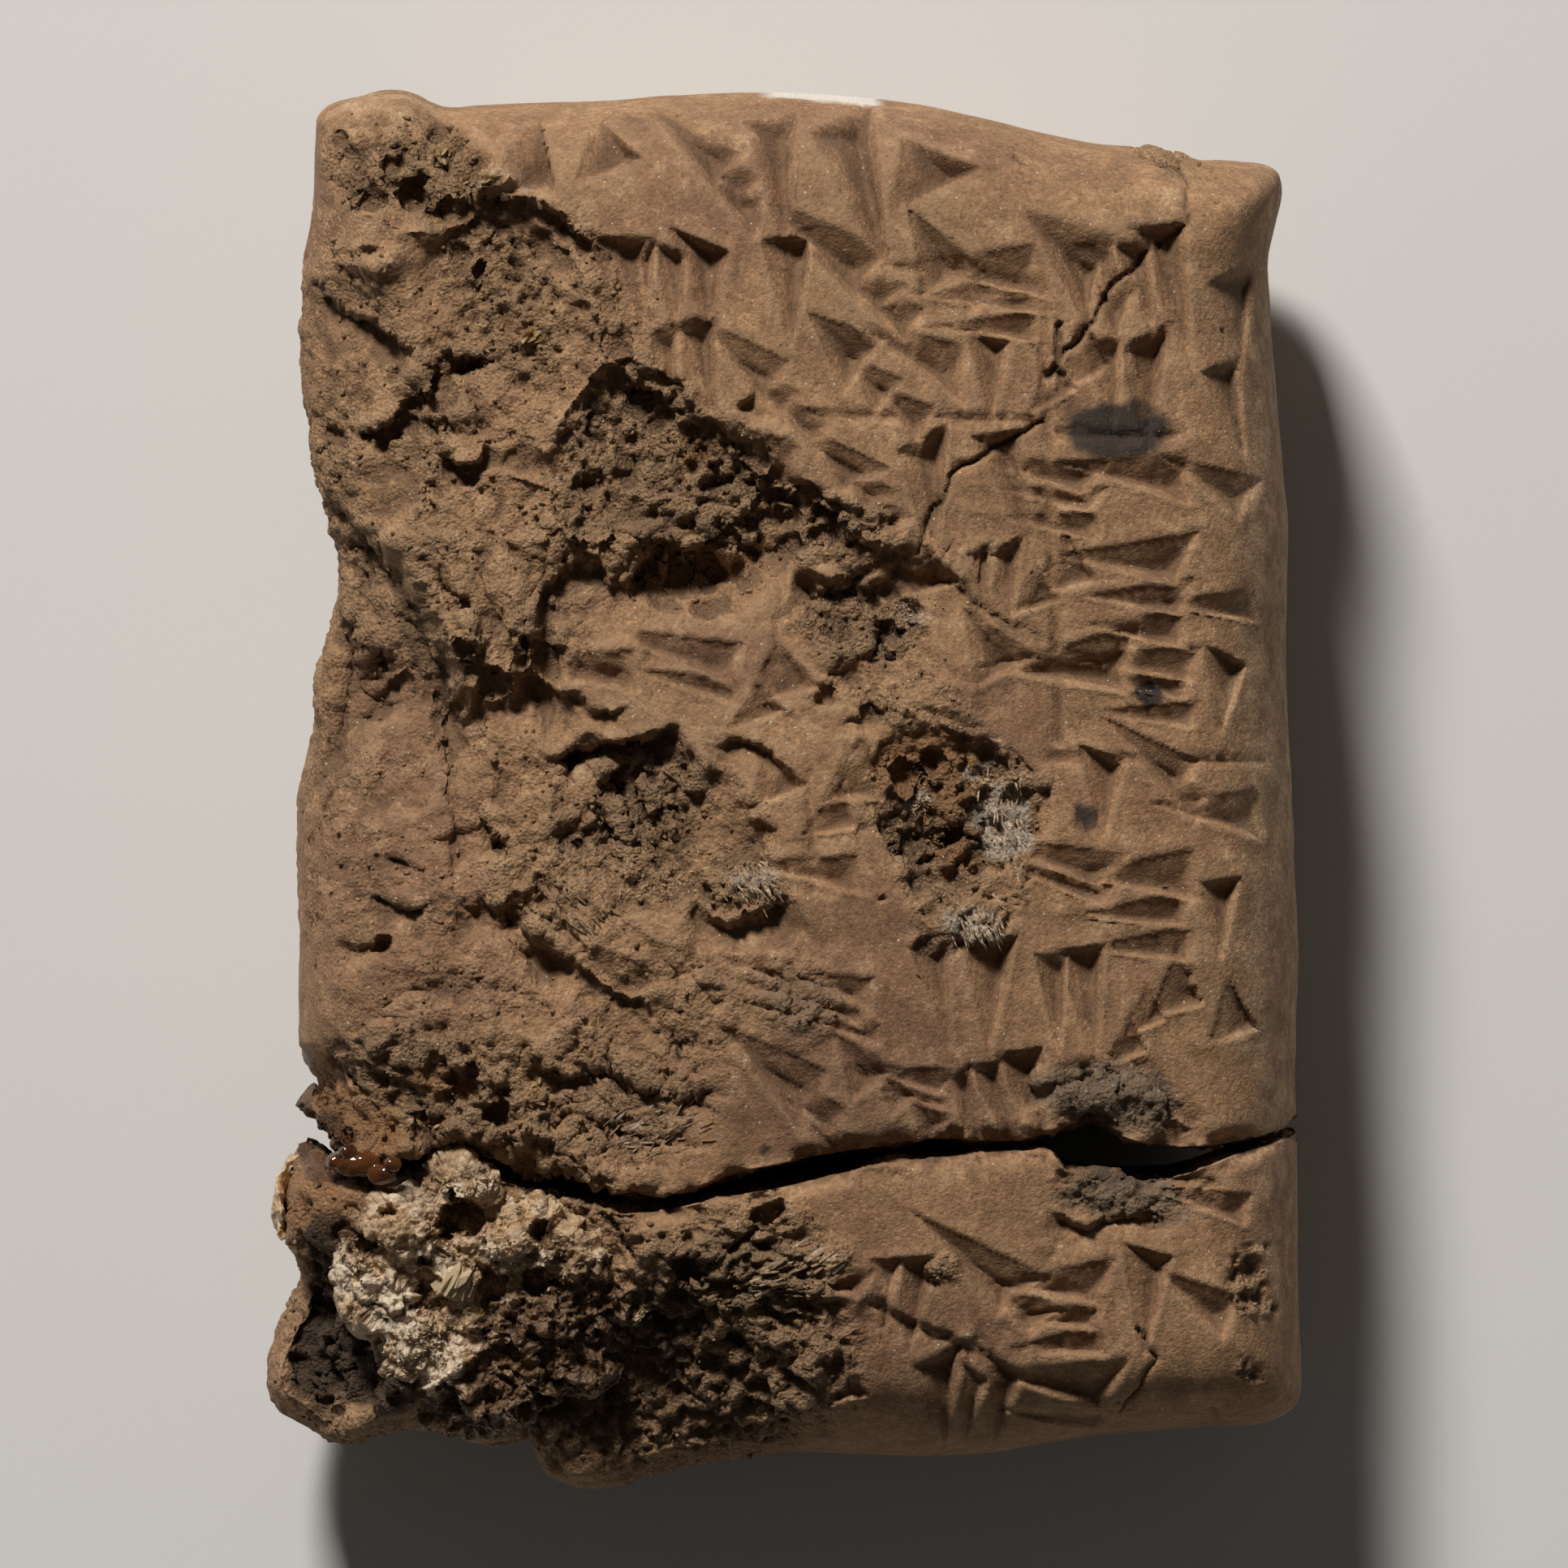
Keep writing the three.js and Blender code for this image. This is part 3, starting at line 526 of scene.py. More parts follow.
def fan(x, y):
    """Ribs of clay that spread like a fan on the lower fragment."""
    along, across = within((FAN_MIDDLE, FAN_REACH, FAN_TURN), x, y)
    mask = np.clip(1.4 * (1 - along ** 2 - across ** 2), 0, 1)
    angle = np.arctan2(y - FAN_ROOT[1], x - FAN_ROOT[0])
    far = np.hypot(x - FAN_ROOT[0], y - FAN_ROOT[1])
    rib = soft_noise(np.stack([angle * FAN_RIBS, far * 0.22, far * 0], -1), 1.0, 181)
    rib += 0.5 * soft_noise(np.stack([angle * FAN_RIBS, far * 0.3, far * 0], -1), 0.45, 183)
    return FAN_RISE * mask * (1 - 2 * np.abs(rib))


def fibres(x, y, strength):
    """Low swirling ridges that run along the fibres."""
    flat = flat_places(x, y)
    total = np.zeros_like(x)
    for place, reach, turn, lie, share in FIBROUS:
        along, across = within((place, reach, turn), x, y)
        mask = share * np.clip(1.3 - along ** 2 - across ** 2, 0, 1)
        way = np.radians(lie + FIBRE_SWIRL * soft_noise(flat, 2.6, 91))
        run = x * np.cos(way) + y * np.sin(way)
        over = y * np.cos(way) - x * np.sin(way)
        streak = soft_noise(np.stack([run * 0.16, over, over * 0], -1), 0.42, 92)
        streak += 0.5 * soft_noise(np.stack([run * 0.3, over, over * 0], -1), 0.22, 93)
        total += mask * (1 - np.abs(streak) * 1.6)
    return strength * total


# How much of each hollow's depth is left once the rough floor is added
SETTLED = {"salt_pit": 0.3, "small_crumble": 0.6, "grey_arch": 0.45, "grey_arch_foot": 0.45}
SETTLED_ELSEWHERE = 0.8


def face_loss(x, y):
    """How far the face has sunk and how crumbly it is, with ragged rims."""
    flat = flat_places(x, y)
    east = x + 0.45 * rough_noise(flat, 3.0, 21, 3) + 0.10 * soft_noise(flat, 0.5, 27)
    north = y + 0.45 * rough_noise(flat, 3.0, 31, 3) + 0.10 * soft_noise(flat, 0.5, 37)
    near_x = x + 0.24 * rough_noise(flat, 1.2, 22, 4)
    near_y = y + 0.24 * rough_noise(flat, 1.2, 32, 4)
    loss, crumb = np.zeros_like(x), np.zeros_like(x)
    for name, hollow in HOLLOWS.items():
        along, across = within(hollow, east, north)
        share = sunk(hollow, east, north)
        lean = 1 + hollow[4][0] * along + hollow[4][1] * across
        loss = np.maximum(loss, share * hollow[3] * SETTLED.get(name, SETTLED_ELSEWHERE) * lean)
        crumb = np.maximum(crumb, np.sqrt(share) * hollow[6] / 0.75)
    for place, reach, turn, strength in CRUMBLED:
        share = sunk((place, reach, turn, 0, (0, 0), 2), east, north)
        crumb = np.maximum(crumb, strength * share)
    return loss + ledge_loss(near_x, near_y) + rounds_loss(near_x, near_y), crumb


# The writing: rows of wedge strokes, each pressed by one corner of the reed. Each kind of stroke
# has its turn, length, width and depth.
FIRST_ROW, ROW_PITCH, ROW_COUNT = 23.2, 3.8, 13
STROKE_PITCH, TEXT_LEFT, TEXT_RIGHT = 2.9, -16.4, 17
STROKE_KINDS = [
    (180, 5.4, 2.3, 0.8), (146, 4.8, 2.2, 0.75), (-90, 4.2, 2, 0.8), (-138, 2.6, 2.6, 0.75),
    (172, 4.8, 1.5, 0.55), (-78, 5, 1.9, 0.8), (130, 3, 2.6, 0.8),
]
HEAD_SHARE = 0.22
TOOL_LEAN = (0.5, 0.36)
ROW_WANDER, TURN_WANDER, STROKE_SIZES = 0.9, 16, (0.8, 1.15)
LOST = 0.15
STROKE_MARGIN = 1.7
COMPANIONS = 2.6
MARGIN_X, MARGIN_START = 15.9, 900
BURR_HEIGHT, BURR_REACH = 0.09, 0.4
HEAD_ROWS, HEAD_ROWS_GROWN = 17, 0.2
DEEPER_FROM, DEEPER_BY = 15, 0.9


def by_break(x, y):
    return lower_lip(x) - STROKE_MARGIN < y < upper_lip(x) + STROKE_MARGIN


def written_strokes():
    """Place, turn, length, width, depth and number of each stroke, left out where the face is lost."""
    strokes = []
    per_row = int((TEXT_RIGHT - TEXT_LEFT) / STROKE_PITCH)
    for n in range(ROW_COUNT * per_row):
        x = TEXT_LEFT + (n % per_row + 0.25 + 0.5 * scatter(n, 2)) * STROKE_PITCH
        y = FIRST_ROW - (n // per_row) * ROW_PITCH + ROW_WANDER * (scatter(n, 3) - 0.5)
        lost = any(sunk(hollow, x, y) > LOST for hollow in HOLLOWS.values())
        by_edge = y > head_edge(x) - STROKE_MARGIN or y < foot_edge(x) + STROKE_MARGIN
        if lost or by_break(x, y) or by_edge:
            continue
        turn, length, width, depth = STROKE_KINDS[int(scatter(n, 1) * len(STROKE_KINDS))]
        size = STROKE_SIZES[0] + (STROKE_SIZES[1] - STROKE_SIZES[0]) * scatter(n, 4)
        turn = math.radians(turn + TURN_WANDER * (scatter(n, 5) - 0.5))
        strokes.append((x, y, turn, length * size, width * size, depth * size, n))
        for k in range(int(scatter(n, 6) * COMPANIONS)):
            away = (k + 1) * 0.62 * width * size
            strokes.append((
                x + away * math.sin(turn) + 0.5 * (scatter(n, 7 + k) - 0.5),
                y - away * abs(math.cos(turn)) + 0.3 * (scatter(n, 9 + k) - 0.5),
                turn + 0.12 * (scatter(n, 11 + k) - 0.5), length * size * 0.85, width * size * 0.7,
                depth * size * 0.75, n + 1000 * k,
            ))
    for row in range(ROW_COUNT):
        n = MARGIN_START + row
        x, y = MARGIN_X + 0.9 * scatter(n, 2), FIRST_ROW - (row + 0.5 * scatter(n, 3)) * ROW_PITCH
        if by_break(x, y) or y > head_edge(x) - STROKE_MARGIN:
            continue
        turn, length, width, depth = STROKE_KINDS[int(scatter(n, 1) * len(STROKE_KINDS))]
        turn = math.radians(turn + TURN_WANDER * (scatter(n, 5) - 0.5))
        strokes.append((x, y, turn, length * 0.8, width * 0.85, depth * 0.8, n))
    return strokes


def press_strokes(x, y):
    """Depth of the deepest stroke at each place, and the low burr pushed up round the strokes."""
    pressed, burr = np.zeros_like(x), np.zeros_like(x)
    for east, north, turn, length, width, depth, n in written_strokes():
        close = (np.abs(x - east) < length) & (np.abs(y - north) < length)
        px, py = x[close] - east, y[close] - north
        along = px * math.cos(turn) + py * math.sin(turn)
        across = py * math.cos(turn) - px * math.sin(turn)
        grown = 1 + HEAD_ROWS_GROWN * (north > HEAD_ROWS)
        length, width = length * grown, width * grown
        head, tail = -HEAD_SHARE * length, (1 - HEAD_SHARE) * length
        slant = 0.5 * (scatter(n, 13) - 0.5) * width
        lean = -TOOL_LEAN[0] * math.cos(turn) - TOOL_LEAN[1] * math.sin(turn)
        corners = [(head + slant, width / 2), (head - slant, -width / 2), (tail, 0)]
        apex = (0.25 * head, lean * width / 2)
        inside = np.full_like(along, 9.0)
        for a, b in zip(corners, corners[1:] + corners[:1]):
            run = (b[0] - a[0], b[1] - a[1])
            full = run[0] * (apex[1] - a[1]) - run[1] * (apex[0] - a[0])
            inside = np.minimum(inside, (run[0] * (across - a[1]) - run[1] * (along - a[0])) / full)
        soft = 0.5 * (inside + np.sqrt(inside ** 2 + 0.006))
        depth *= 1.1 + DEEPER_BY * max(0.0, (north - DEEPER_FROM) / 8)
        pressed[close] = np.maximum(pressed[close], depth * np.clip(soft - 0.02, 0, 1))
        outside = np.clip(-inside, 0, None)
        burr[close] = np.maximum(burr[close], np.exp(-(outside / BURR_REACH) ** 2) * (inside <= 0))
    return pressed, burr


RULES = [
    ((9.6, 17.2), (10.2, 1.6)), ((-1, 13.6), (9, 13.4)), ((10.2, 13), (14.4, 12.8)),
    ((9.8, 0.9), (17.8, 0.8)),
    ((0.9, 0.3), (1.1, -4)), ((-5.9, 24.6), (-2, 24.8)), ((10, 11.7), (14.5, 11.6)),
]
RULE_WIDTH, RULE_DEPTH = 0.6, 0.22
CRACKS = [
    [(14.8, 23.6), (14.8, 20.9), (13.6, 19.7), (12.4, 18.6), (10.9, 16.4), (9.9, 15.2)],
    [(9.6, 13.4), (9.1, 13.2), (7.6, 12.2), (6.1, 11.3), (4.9, 8.6)],
    [(13, -20.2), (13.6, -21.4), (12.3, -23.4)], [(-6.9, -15.9), (-6.3, -16.5), (-5.7, -17.4)],
    [(-9.3, 7.2), (-9.5, 5.8), (-9.6, 4.2)], [(-12.9, 7.6), (-12.4, 7.1), (-11.9, 6.5)],
    [(-15.6, 2.5), (-14.8, 2.9), (-13.7, 3.4)], [(-10.7, -7.5), (-10.7, -8.5)], [(-18, 19.4), (-17.3, 18.5)],
    [(10.3, 17), (10.3, 15.2)],
]
CRACK_WIDTH, CRACK_DEPTH = 0.13, 0.4
RIDGES = [
    [(-9.1, 7.5), (-9.3, 5.8), (-9.4, 4.2)],
    [(-11.2, 12.2), (-11, 13.1), (-10.2, 13.4), (-9.4, 13), (-8.9, 12.3)],
]
RIDGE_WIDTH, RIDGE_HEIGHT = 0.12, 0.3


def scored_lines(x, y):
    """Ruled lines and hairline cracks, with a raised hair of clay along two of the flakes."""
    flat = flat_places(x, y)
    east, north = x + 0.07 * soft_noise(flat, 1.5, 5), y + 0.07 * soft_noise(flat, 1.5, 6)
    lines = np.zeros_like(x)
    for rule in RULES:
        gap = along_path(east, north, rule)[0]
        lines = np.maximum(lines, RULE_DEPTH * np.clip(1 - gap / (RULE_WIDTH / 2), 0, 1))
    east, north = x + 0.16 * rough_noise(flat, 1.1, 7, 3), y + 0.16 * rough_noise(flat, 1.1, 8, 3)
    cracked = np.zeros_like(x)
    for crack in CRACKS:
        cracked = np.maximum(cracked, np.clip(1 - along_path(east, north, crack)[0] / CRACK_WIDTH, 0, 1))
    for ridge in RIDGES:
        lines -= RIDGE_HEIGHT * np.exp(-(along_path(east, north, ridge)[0] / RIDGE_WIDTH) ** 2)
    return lines, cracked


# Stains, and patches of painted shade and painted light: place, reach, turn, strength
SOOT = [
    ((12.3, 13), (2.2, 1.35), 3, 1.0), ((10.6, 13.9), (1.2, 0.8), 0, 0.62),
    ((10.9, 11.3), (1.2, 0.5), -5, 0.5), ((13.5, 3.2), (0.6, 0.65), 0, 1.0),
    ((11.1, -1.4), (0.6, 0.7), 0, 0.95), ((12.7, 17), (1.1, 0.7), 0, 0.45),
    ((8.6, 24.2), (0.9, 0.4), -30, 0.7), ((8.9, 21.9), (0.5, 1.3), -5, 0.7),
    ((3.7, 18.5), (0.7, 0.8), 0, 0.45), ((-5.7, 24.6), (1.2, 0.8), 0, 0.55),
    ((-0.8, -13.5), (0.55, 0.35), 0, 0.9), ((-0.6, -16), (0.6, 0.5), 0, 0.5),
    ((-2.9, -11.2), (1.1, 0.6), 0, 0.45), ((12.1, -14.2), (2.6, 0.8), -4, 0.62),
    ((14.2, 17), (1.4, 0.7), -20, 0.35), ((1, -13.6), (0.3, 0.2), 0, 0.5),
    ((-7.7, -10.9), (0.8, 0.5), 0, 0.35), ((-2.3, -17.6), (1.2, 0.5), -20, 0.5),
]
# Painted shade: dark patches in the caves of the foot, along the break and under a ledge, where shade falls
CAVE_PAINTED_SHADE = [
    ((-17.3, -20.6), (1.3, 3.4), 0, 1.0), ((-15, -21.4), (1.9, 2.3), 0, 1.0),
    ((-9.6, -23.2), (2.8, 1.0), 0, 0.8), ((-4.6, -20.2), (2.2, 1.6), 0, 0.7),
    ((-16.8, -17.2), (1.0, 1.6), 0, 0.8), ((-6.6, -23.4), (2.4, 1.0), 0, 0.6),
    ((-2.4, -22.4), (2.4, 1.4), 0, 0.5), ((-11.8, -13.2), (1.6, 0.5), 0, 0.6),
    ((-4.6, 9.6), (3.4, 0.6), 0, 0.6),
]
GREY = [
    ((11.8, -11.5), (3.4, 1.5), -8, 1.0), ((12.7, -15.4), (3.2, 1.2), -6, 0.8),
    ((0.4, -8.2), (1.9, 2.0), 0, 0.6), ((-5.6, -11.8), (4.2, 3.2), 20, 0.5),
    ((-1.1, -17.8), (3.8, 2.6), -10, 0.5), ((-14, 22.5), (3.2, 1.4), 0, 0.3),
    ((-10.4, 22.2), (2.6, 1.0), 0, 0.4), ((-5, 14), (3.0, 1.6), -20, 0.4),
    ((-3.5, 10.4), (3.4, 1.2), -10, 0.4), ((-15.5, 18.2), (2.4, 1.6), -20, 0.3),
]
RUST = [
    ((-17.4, -15.8), (1.4, 1.8), 0, 0.9), ((-16.1, -12.7), (3.0, 1.6), -30, 1.0),
    ((-12.8, -10.9), (1.8, 0.9), -20, 0.8), ((-3.2, 12.5), (1.5, 1.0), -30, 0.7),
    ((5.6, 0.4), (3.0, 1.9), -30, 0.9), ((6.2, -2.2), (1.4, 1.8), 0, 0.8),
    ((-9.8, 17), (1.4, 1.2), 0, 0.6), ((-10.4, 19.1), (2.0, 1.6), -40, 0.4),
    ((-11.3, 23.6), (1.6, 0.6), 0, 0.5), ((1.6, -3.4), (0.5, 0.9), 0, 0.6),
    ((10, 13.1), (0.4, 2.2), 0, 0.5), ((14.2, 20.3), (0.9, 0.5), 40, 0.4),
    ((6.4, 6.5), (1.4, 0.5), 0, 0.4), ((-17.7, -10.3), (0.5, 1.8), 0, 0.6),
    ((-12.2, -14.8), (4.0, 0.9), -20, 0.5), ((1, 21.8), (0.3, 0.3), 0, 0.3),
]
SALTED = [
    ((8.1, -1.6), (1.1, 1.7), 10, 0.9), ((7, -5.2), (1.4, 0.9), 0, 0.9), ((5, -0.7), (0.7, 0.6), 0, 0.8),
    ((-1.1, -3.6), (1.1, 0.9), 0, 0.7), ((4.6, 6.3), (1.2, 0.7), 20, 0.5),
    ((-10.4, 22.4), (2.2, 0.5), 0, 0.5), ((-11.3, 15.8), (1.0, 0.8), 0, 0.4),
    ((0.7, 12), (1.4, 0.2), 0, 0.3), ((7.3, 0.3), (0.8, 0.3), 0, 0.7),
]
REDDISH = [
    ((-15.2, -1), (3.2, 6.5), 0, 0.75), ((-13.6, -8), (3.0, 2.6), 0, 0.6),
    ((2, 22.4), (13, 3.6), -3, 0.5), ((2.5, -11.2), (7.0, 3.0), 4, 1.0),
    ((2.8, -6.4), (5.0, 3.0), 0, 0.6), ((-2, 4.4), (3.4, 2.0), -20, 0.6),
    ((5.5, -20.5), (5.0, 3.0), 0, 0.6), ((8.2, 3.2), (2.5, 3.0), 0, 0.4), ((-8, 4.1), (2.6, 2.0), 0, 0.4),
    ((4, 10.1), (3.0, 1.6), 0, 0.4), ((7.9, 9.2), (1.8, 2.6), 0, 0.5), ((13, -6.4), (3.0, 3.2), 0, 0.35),
]
# Painted light: a paler strip along the rounded right flank and a paler patch on the head corner, where the
# edges look lit
PAINTED_EDGE_LIGHT = [((18.1, 2), (1.6, 22), 0, 0.9), ((-14.9, 25.4), (2.6, 1.2), 0, 0.7)]


def stain(spots, x, y):
    """How strong a stain, a patch of painted shade or a patch of painted light is at each place, with a
    ragged edge.
    """
    mask = np.zeros_like(x)
    flat = flat_places(x, y)
    x, y = x + 0.3 * rough_noise(flat, 1.1, 211, 4), y + 0.3 * rough_noise(flat, 1.1, 215, 4)
    for place, reach, turn, strength in spots:
        along, across = within((place, reach, turn), x, y)
        mask = np.maximum(mask, strength * np.exp(-(along ** 2 + across ** 2) ** 2.2))
    return mask


RESIN_RUN = [
    ((-17, -13.4), (1.6, 1.3), -20, 1.0), ((-16.4, -14.6), (1.2, 0.6), 0, 1.0),
    ((-13.4, -12.6), (1.0, 0.8), 0, 0.7), ((-18.1, -11.6), (0.5, 1.8), 0, 0.8),
    ((-11.6, -11.6), (0.9, 0.6), 0, 0.55),
]
# Stains, with the painted cave shade and painted edge light among them
STAINS = {
    "soot": SOOT, "cave_painted_shade": CAVE_PAINTED_SHADE, "grey": GREY, "rust": RUST, "salt": SALTED, "reddish": REDDISH,
    "resin": RESIN_RUN, "pale": PAINTED_EDGE_LIGHT,
}
WRAPPED_STAINS = ("rust", "resin", "pale")        # these run on round the flanks

LACQUER = (-1.0, 3.6)
LACQUER_BAND = (0.08, 0.56)


def lacquered(x, y, side):
    """A ragged patch of white lacquer on the head edge, where a label has been."""
    flat = np.stack([x, y * 0, side * 6], axis=-1)
    ragged = 0.25 * rough_noise(flat, 1.2, 95, 3)
    inside = np.minimum(x - LACQUER[0], LACQUER[1] - x)
    inside = np.minimum(inside, 7 * np.minimum(side - LACQUER_BAND[0], LACQUER_BAND[1] - side))
    return np.clip((inside + ragged) * 6, 0, 1) * (y > HALF_LENGTH - EDGE_ROLL)


def face_dome(x, y):
    """Height of the whole face before anything is lost."""
    across = np.minimum(1, np.abs(x) / HALF_WIDTH)
    along = np.minimum(1, np.abs(y) / HALF_LENGTH)
    return FLANK_HEIGHT + FACE_DOME * (1 - across ** 2) * (1 - along ** 4)


def back_height(x, y):
    """Height of the back above the table, with a small flat spot to rest on."""
    return np.maximum(0, BACK_SWELL * ((x / HALF_WIDTH) ** 2 + (y / HALF_LENGTH) ** 4) - FLAT_SPOT)


def rolled(angle):
    """The two legs of the squared-off quarter round that joins the flanks to face and back."""
    share = 2 / ROLL_POWER
    return np.abs(np.cos(angle)) ** share, np.abs(np.sin(angle)) ** share


BREAK_AT = -14.3
LIP_REACH = 5.0
WALL_TAPER = 0.02        # the break wall closes to this share of the thickness in its middle
LAST_ANGLE = 0.4         # degrees left open at the far end, then filled


def fragment_places(lip, way, columns, rows):
    """Places of one fragment's skin, wrapped round it in columns, in rows from the break outwards."""
    front, flank, back, back_flank = columns
    wall, body, end = rows
    core_x, core_y = HALF_WIDTH - EDGE_ROLL, HALF_LENGTH - EDGE_ROLL
    knots = np.cumsum([0, flank, front, flank, back_flank, back, back_flank])
    k = np.arange(knots[-1] + 1)
    middle = np.interp(k, knots, [-core_x, -core_x, core_x, core_x, core_x, -core_x, -core_x])
    angle = np.radians(np.interp(k, knots, [0, 90, 90, 0, -90, -90, 0]))
    out, up = rolled(angle)
    up = up * np.sign(angle)
    j = np.arange(wall + body + end + 1)[:, None]
    close = np.interp(j, [0, wall], [WALL_TAPER, 1])
    y = np.interp(j, [wall, wall + body], [BREAK_AT, way * core_y])
    end_angle = np.radians(np.interp(j, [wall + body, wall + body + end], [90, LAST_ANGLE]))
    end_out, end_up = rolled(end_angle)
    y = y + way * EDGE_ROLL * end_out
    x = middle + np.sign(middle) * EDGE_ROLL * out * end_up
    side = up * end_up
    y = y + 0 * x
    bent_x = x * np.where(x < 0, -left_edge(y), right_edge(y)) / HALF_WIDTH
    bent_y = y * np.where(y < 0, -foot_edge(x), head_edge(x)) / HALF_LENGTH
    lip_bent = BREAK_AT * -foot_edge(x) / HALF_LENGTH
    pull = np.clip(1 - np.abs(y - BREAK_AT) / LIP_REACH, 0, 1) ** 2
    bent_y = bent_y + (lip(bent_x) - lip_bent) * pull
    return x, y, bent_x, bent_y, side, close + 0 * x


def blurred(values, reach):
    """A box blur of a grid of values, reach cells each way."""
    for axis in (0, 1):
        padded = np.concatenate([
            np.repeat(values.take([0], axis), reach + 1, axis), values,
            np.repeat(values.take([-1], axis), reach, axis)], axis)
        total = np.cumsum(padded, axis)
        count = values.shape[axis]
        span = 2 * reach + 1
        values = (total.take(range(span, span + count), axis) - total.take(range(count), axis)) / span
    return values


def square_to(place, way):
    """The outward direction at each place of a skin, whose columns close into a ring."""
    ring = place[:, :-1]
    round_it = np.roll(ring, -1, axis=1) - np.roll(ring, 1, axis=1)
    along_it = np.gradient(ring, axis=0)
    normal = np.cross(round_it, along_it) * way
    normal /= np.linalg.norm(normal, axis=-1, keepdims=True) + 1e-12
    return np.concatenate([normal, normal[:, :1]], axis=1)


# How high the broken clay stands up, in mm
BULK_GRAIN, SMALL_GRAIN, FINE_GRAIN = 0.16, 0.26, 0.19
RAGGED, SPLINTERED, HUMMOCKY = 0.36, 0.26, 0.36
FIBRE_HEIGHT, WAVE_HEIGHT, RIPPLE_HEIGHT = 0.26, 0.07, 0.035
MOST_LIFT, MOST_FLANK_LIFT = 0.38, 0.2
CHIP_REACH, CHIP_DEPTH = 0.8, 0.55
FLANK_BEND = 1.25


def broken_grain(place, x, y, side, wall, loss, crumb, front):
    """How far the broken clay stands up or sinks, square to its own surface, and how rough it is."""
    patchy = rough_noise(place, 2.6, 51, 3)
    rough = np.clip(crumb * (0.75 + 0.55 * patchy), 0, 1.2)
    rough = np.maximum(rough, np.clip(wall * 3, 0, 0.6))
    bulk = grains(place, 1.3, 3) - 0.5
    small = grains(place, 0.55, 7) - 0.5
    fine = grains(place, 0.27, 9) - 0.5
    ragged = rough_noise(place, 2.0, 41, 5)
    sharp = splinters(place, 1.0, 191) + 0.5 * splinters(place, 0.42, 193)
    lift = rough * (BULK_GRAIN * bulk + SMALL_GRAIN * small + FINE_GRAIN * fine
                    + RAGGED * ragged + SPLINTERED * sharp)
    lift += HUMMOCKY * np.clip(crumb * 2, 0, 1) * rough_noise(place, 3.6, 201, 4)
    spongy, caves = sponge(place, x, y)
    lift -= caves * front
    lift += fan(x, y) * front
    mild = np.clip(0.35 + 0.5 * patchy + (loss > 0.15), 0, 1)
    lift += mild * (0.05 * small * (loss > 0.1) + 0.03 * fine)
    lift += fibres(x, y, FIBRE_HEIGHT) * front
    lift += WAVE_HEIGHT * rough_noise(place, 5, 81, 3) + RIPPLE_HEIGHT * soft_noise(place, 1.6, 87)
    lift = np.minimum(lift, np.where(side > 0.2, MOST_LIFT, MOST_FLANK_LIFT))
    lift *= np.where(side < 0, np.clip((place[..., 2] - 0.3) / 1.0, 0, 1), 1)
    return lift, np.maximum(rough, spongy)


def skin_mesh(name, place, masks, faces):
    """A closed mesh through a grid of places, with its masks, thinned to a number of faces."""
    total_columns, total_rows = place.shape[1] - 1, place.shape[0] - 1
    bpy.ops.object.select_all(action="DESELECT")
    bpy.ops.mesh.primitive_grid_add(x_subdivisions=total_columns, y_subdivisions=total_rows, size=2)
    piece = bpy.context.object
    piece.name = name
    mesh = piece.data
    sheet = np.empty(len(mesh.vertices) * 3)
    mesh.vertices.foreach_get("co", sheet)
    sheet = sheet.reshape(-1, 3)
    column = np.rint((sheet[:, 0] + 1) / 2 * total_columns).astype(int)
    row = np.rint((sheet[:, 1] + 1) / 2 * total_rows).astype(int)
    mesh.vertices.foreach_set("co", ((place[row, column] - shift) * MM).ravel())
    for mask, values in masks.items():
        add_mask(mesh, mask, values[row, column])
    mesh.update()
    bpy.ops.object.mode_set(mode="EDIT")
    bpy.ops.mesh.select_all(action="SELECT")
    bpy.ops.mesh.remove_doubles(threshold=1e-7)
    bpy.ops.mesh.select_all(action="DESELECT")
    bpy.ops.mesh.select_non_manifold()
    bpy.ops.mesh.fill()
    bpy.ops.mesh.select_all(action="SELECT")
    bpy.ops.mesh.normals_make_consistent(inside=False)
    bpy.ops.object.mode_set(mode="OBJECT")
    thinned = piece.modifiers.new("thinned", "DECIMATE")
    thinned.ratio = faces / sum(len(face.vertices) - 2 for face in mesh.polygons)
    bpy.ops.object.modifier_apply(modifier="thinned")
    bpy.ops.object.shade_smooth()
    return piece


def add_mask(mesh, name, values):
    layer = mesh.attributes.new(name, "FLOAT", "POINT")
    layer.data.foreach_set("value", values.astype(np.float32))


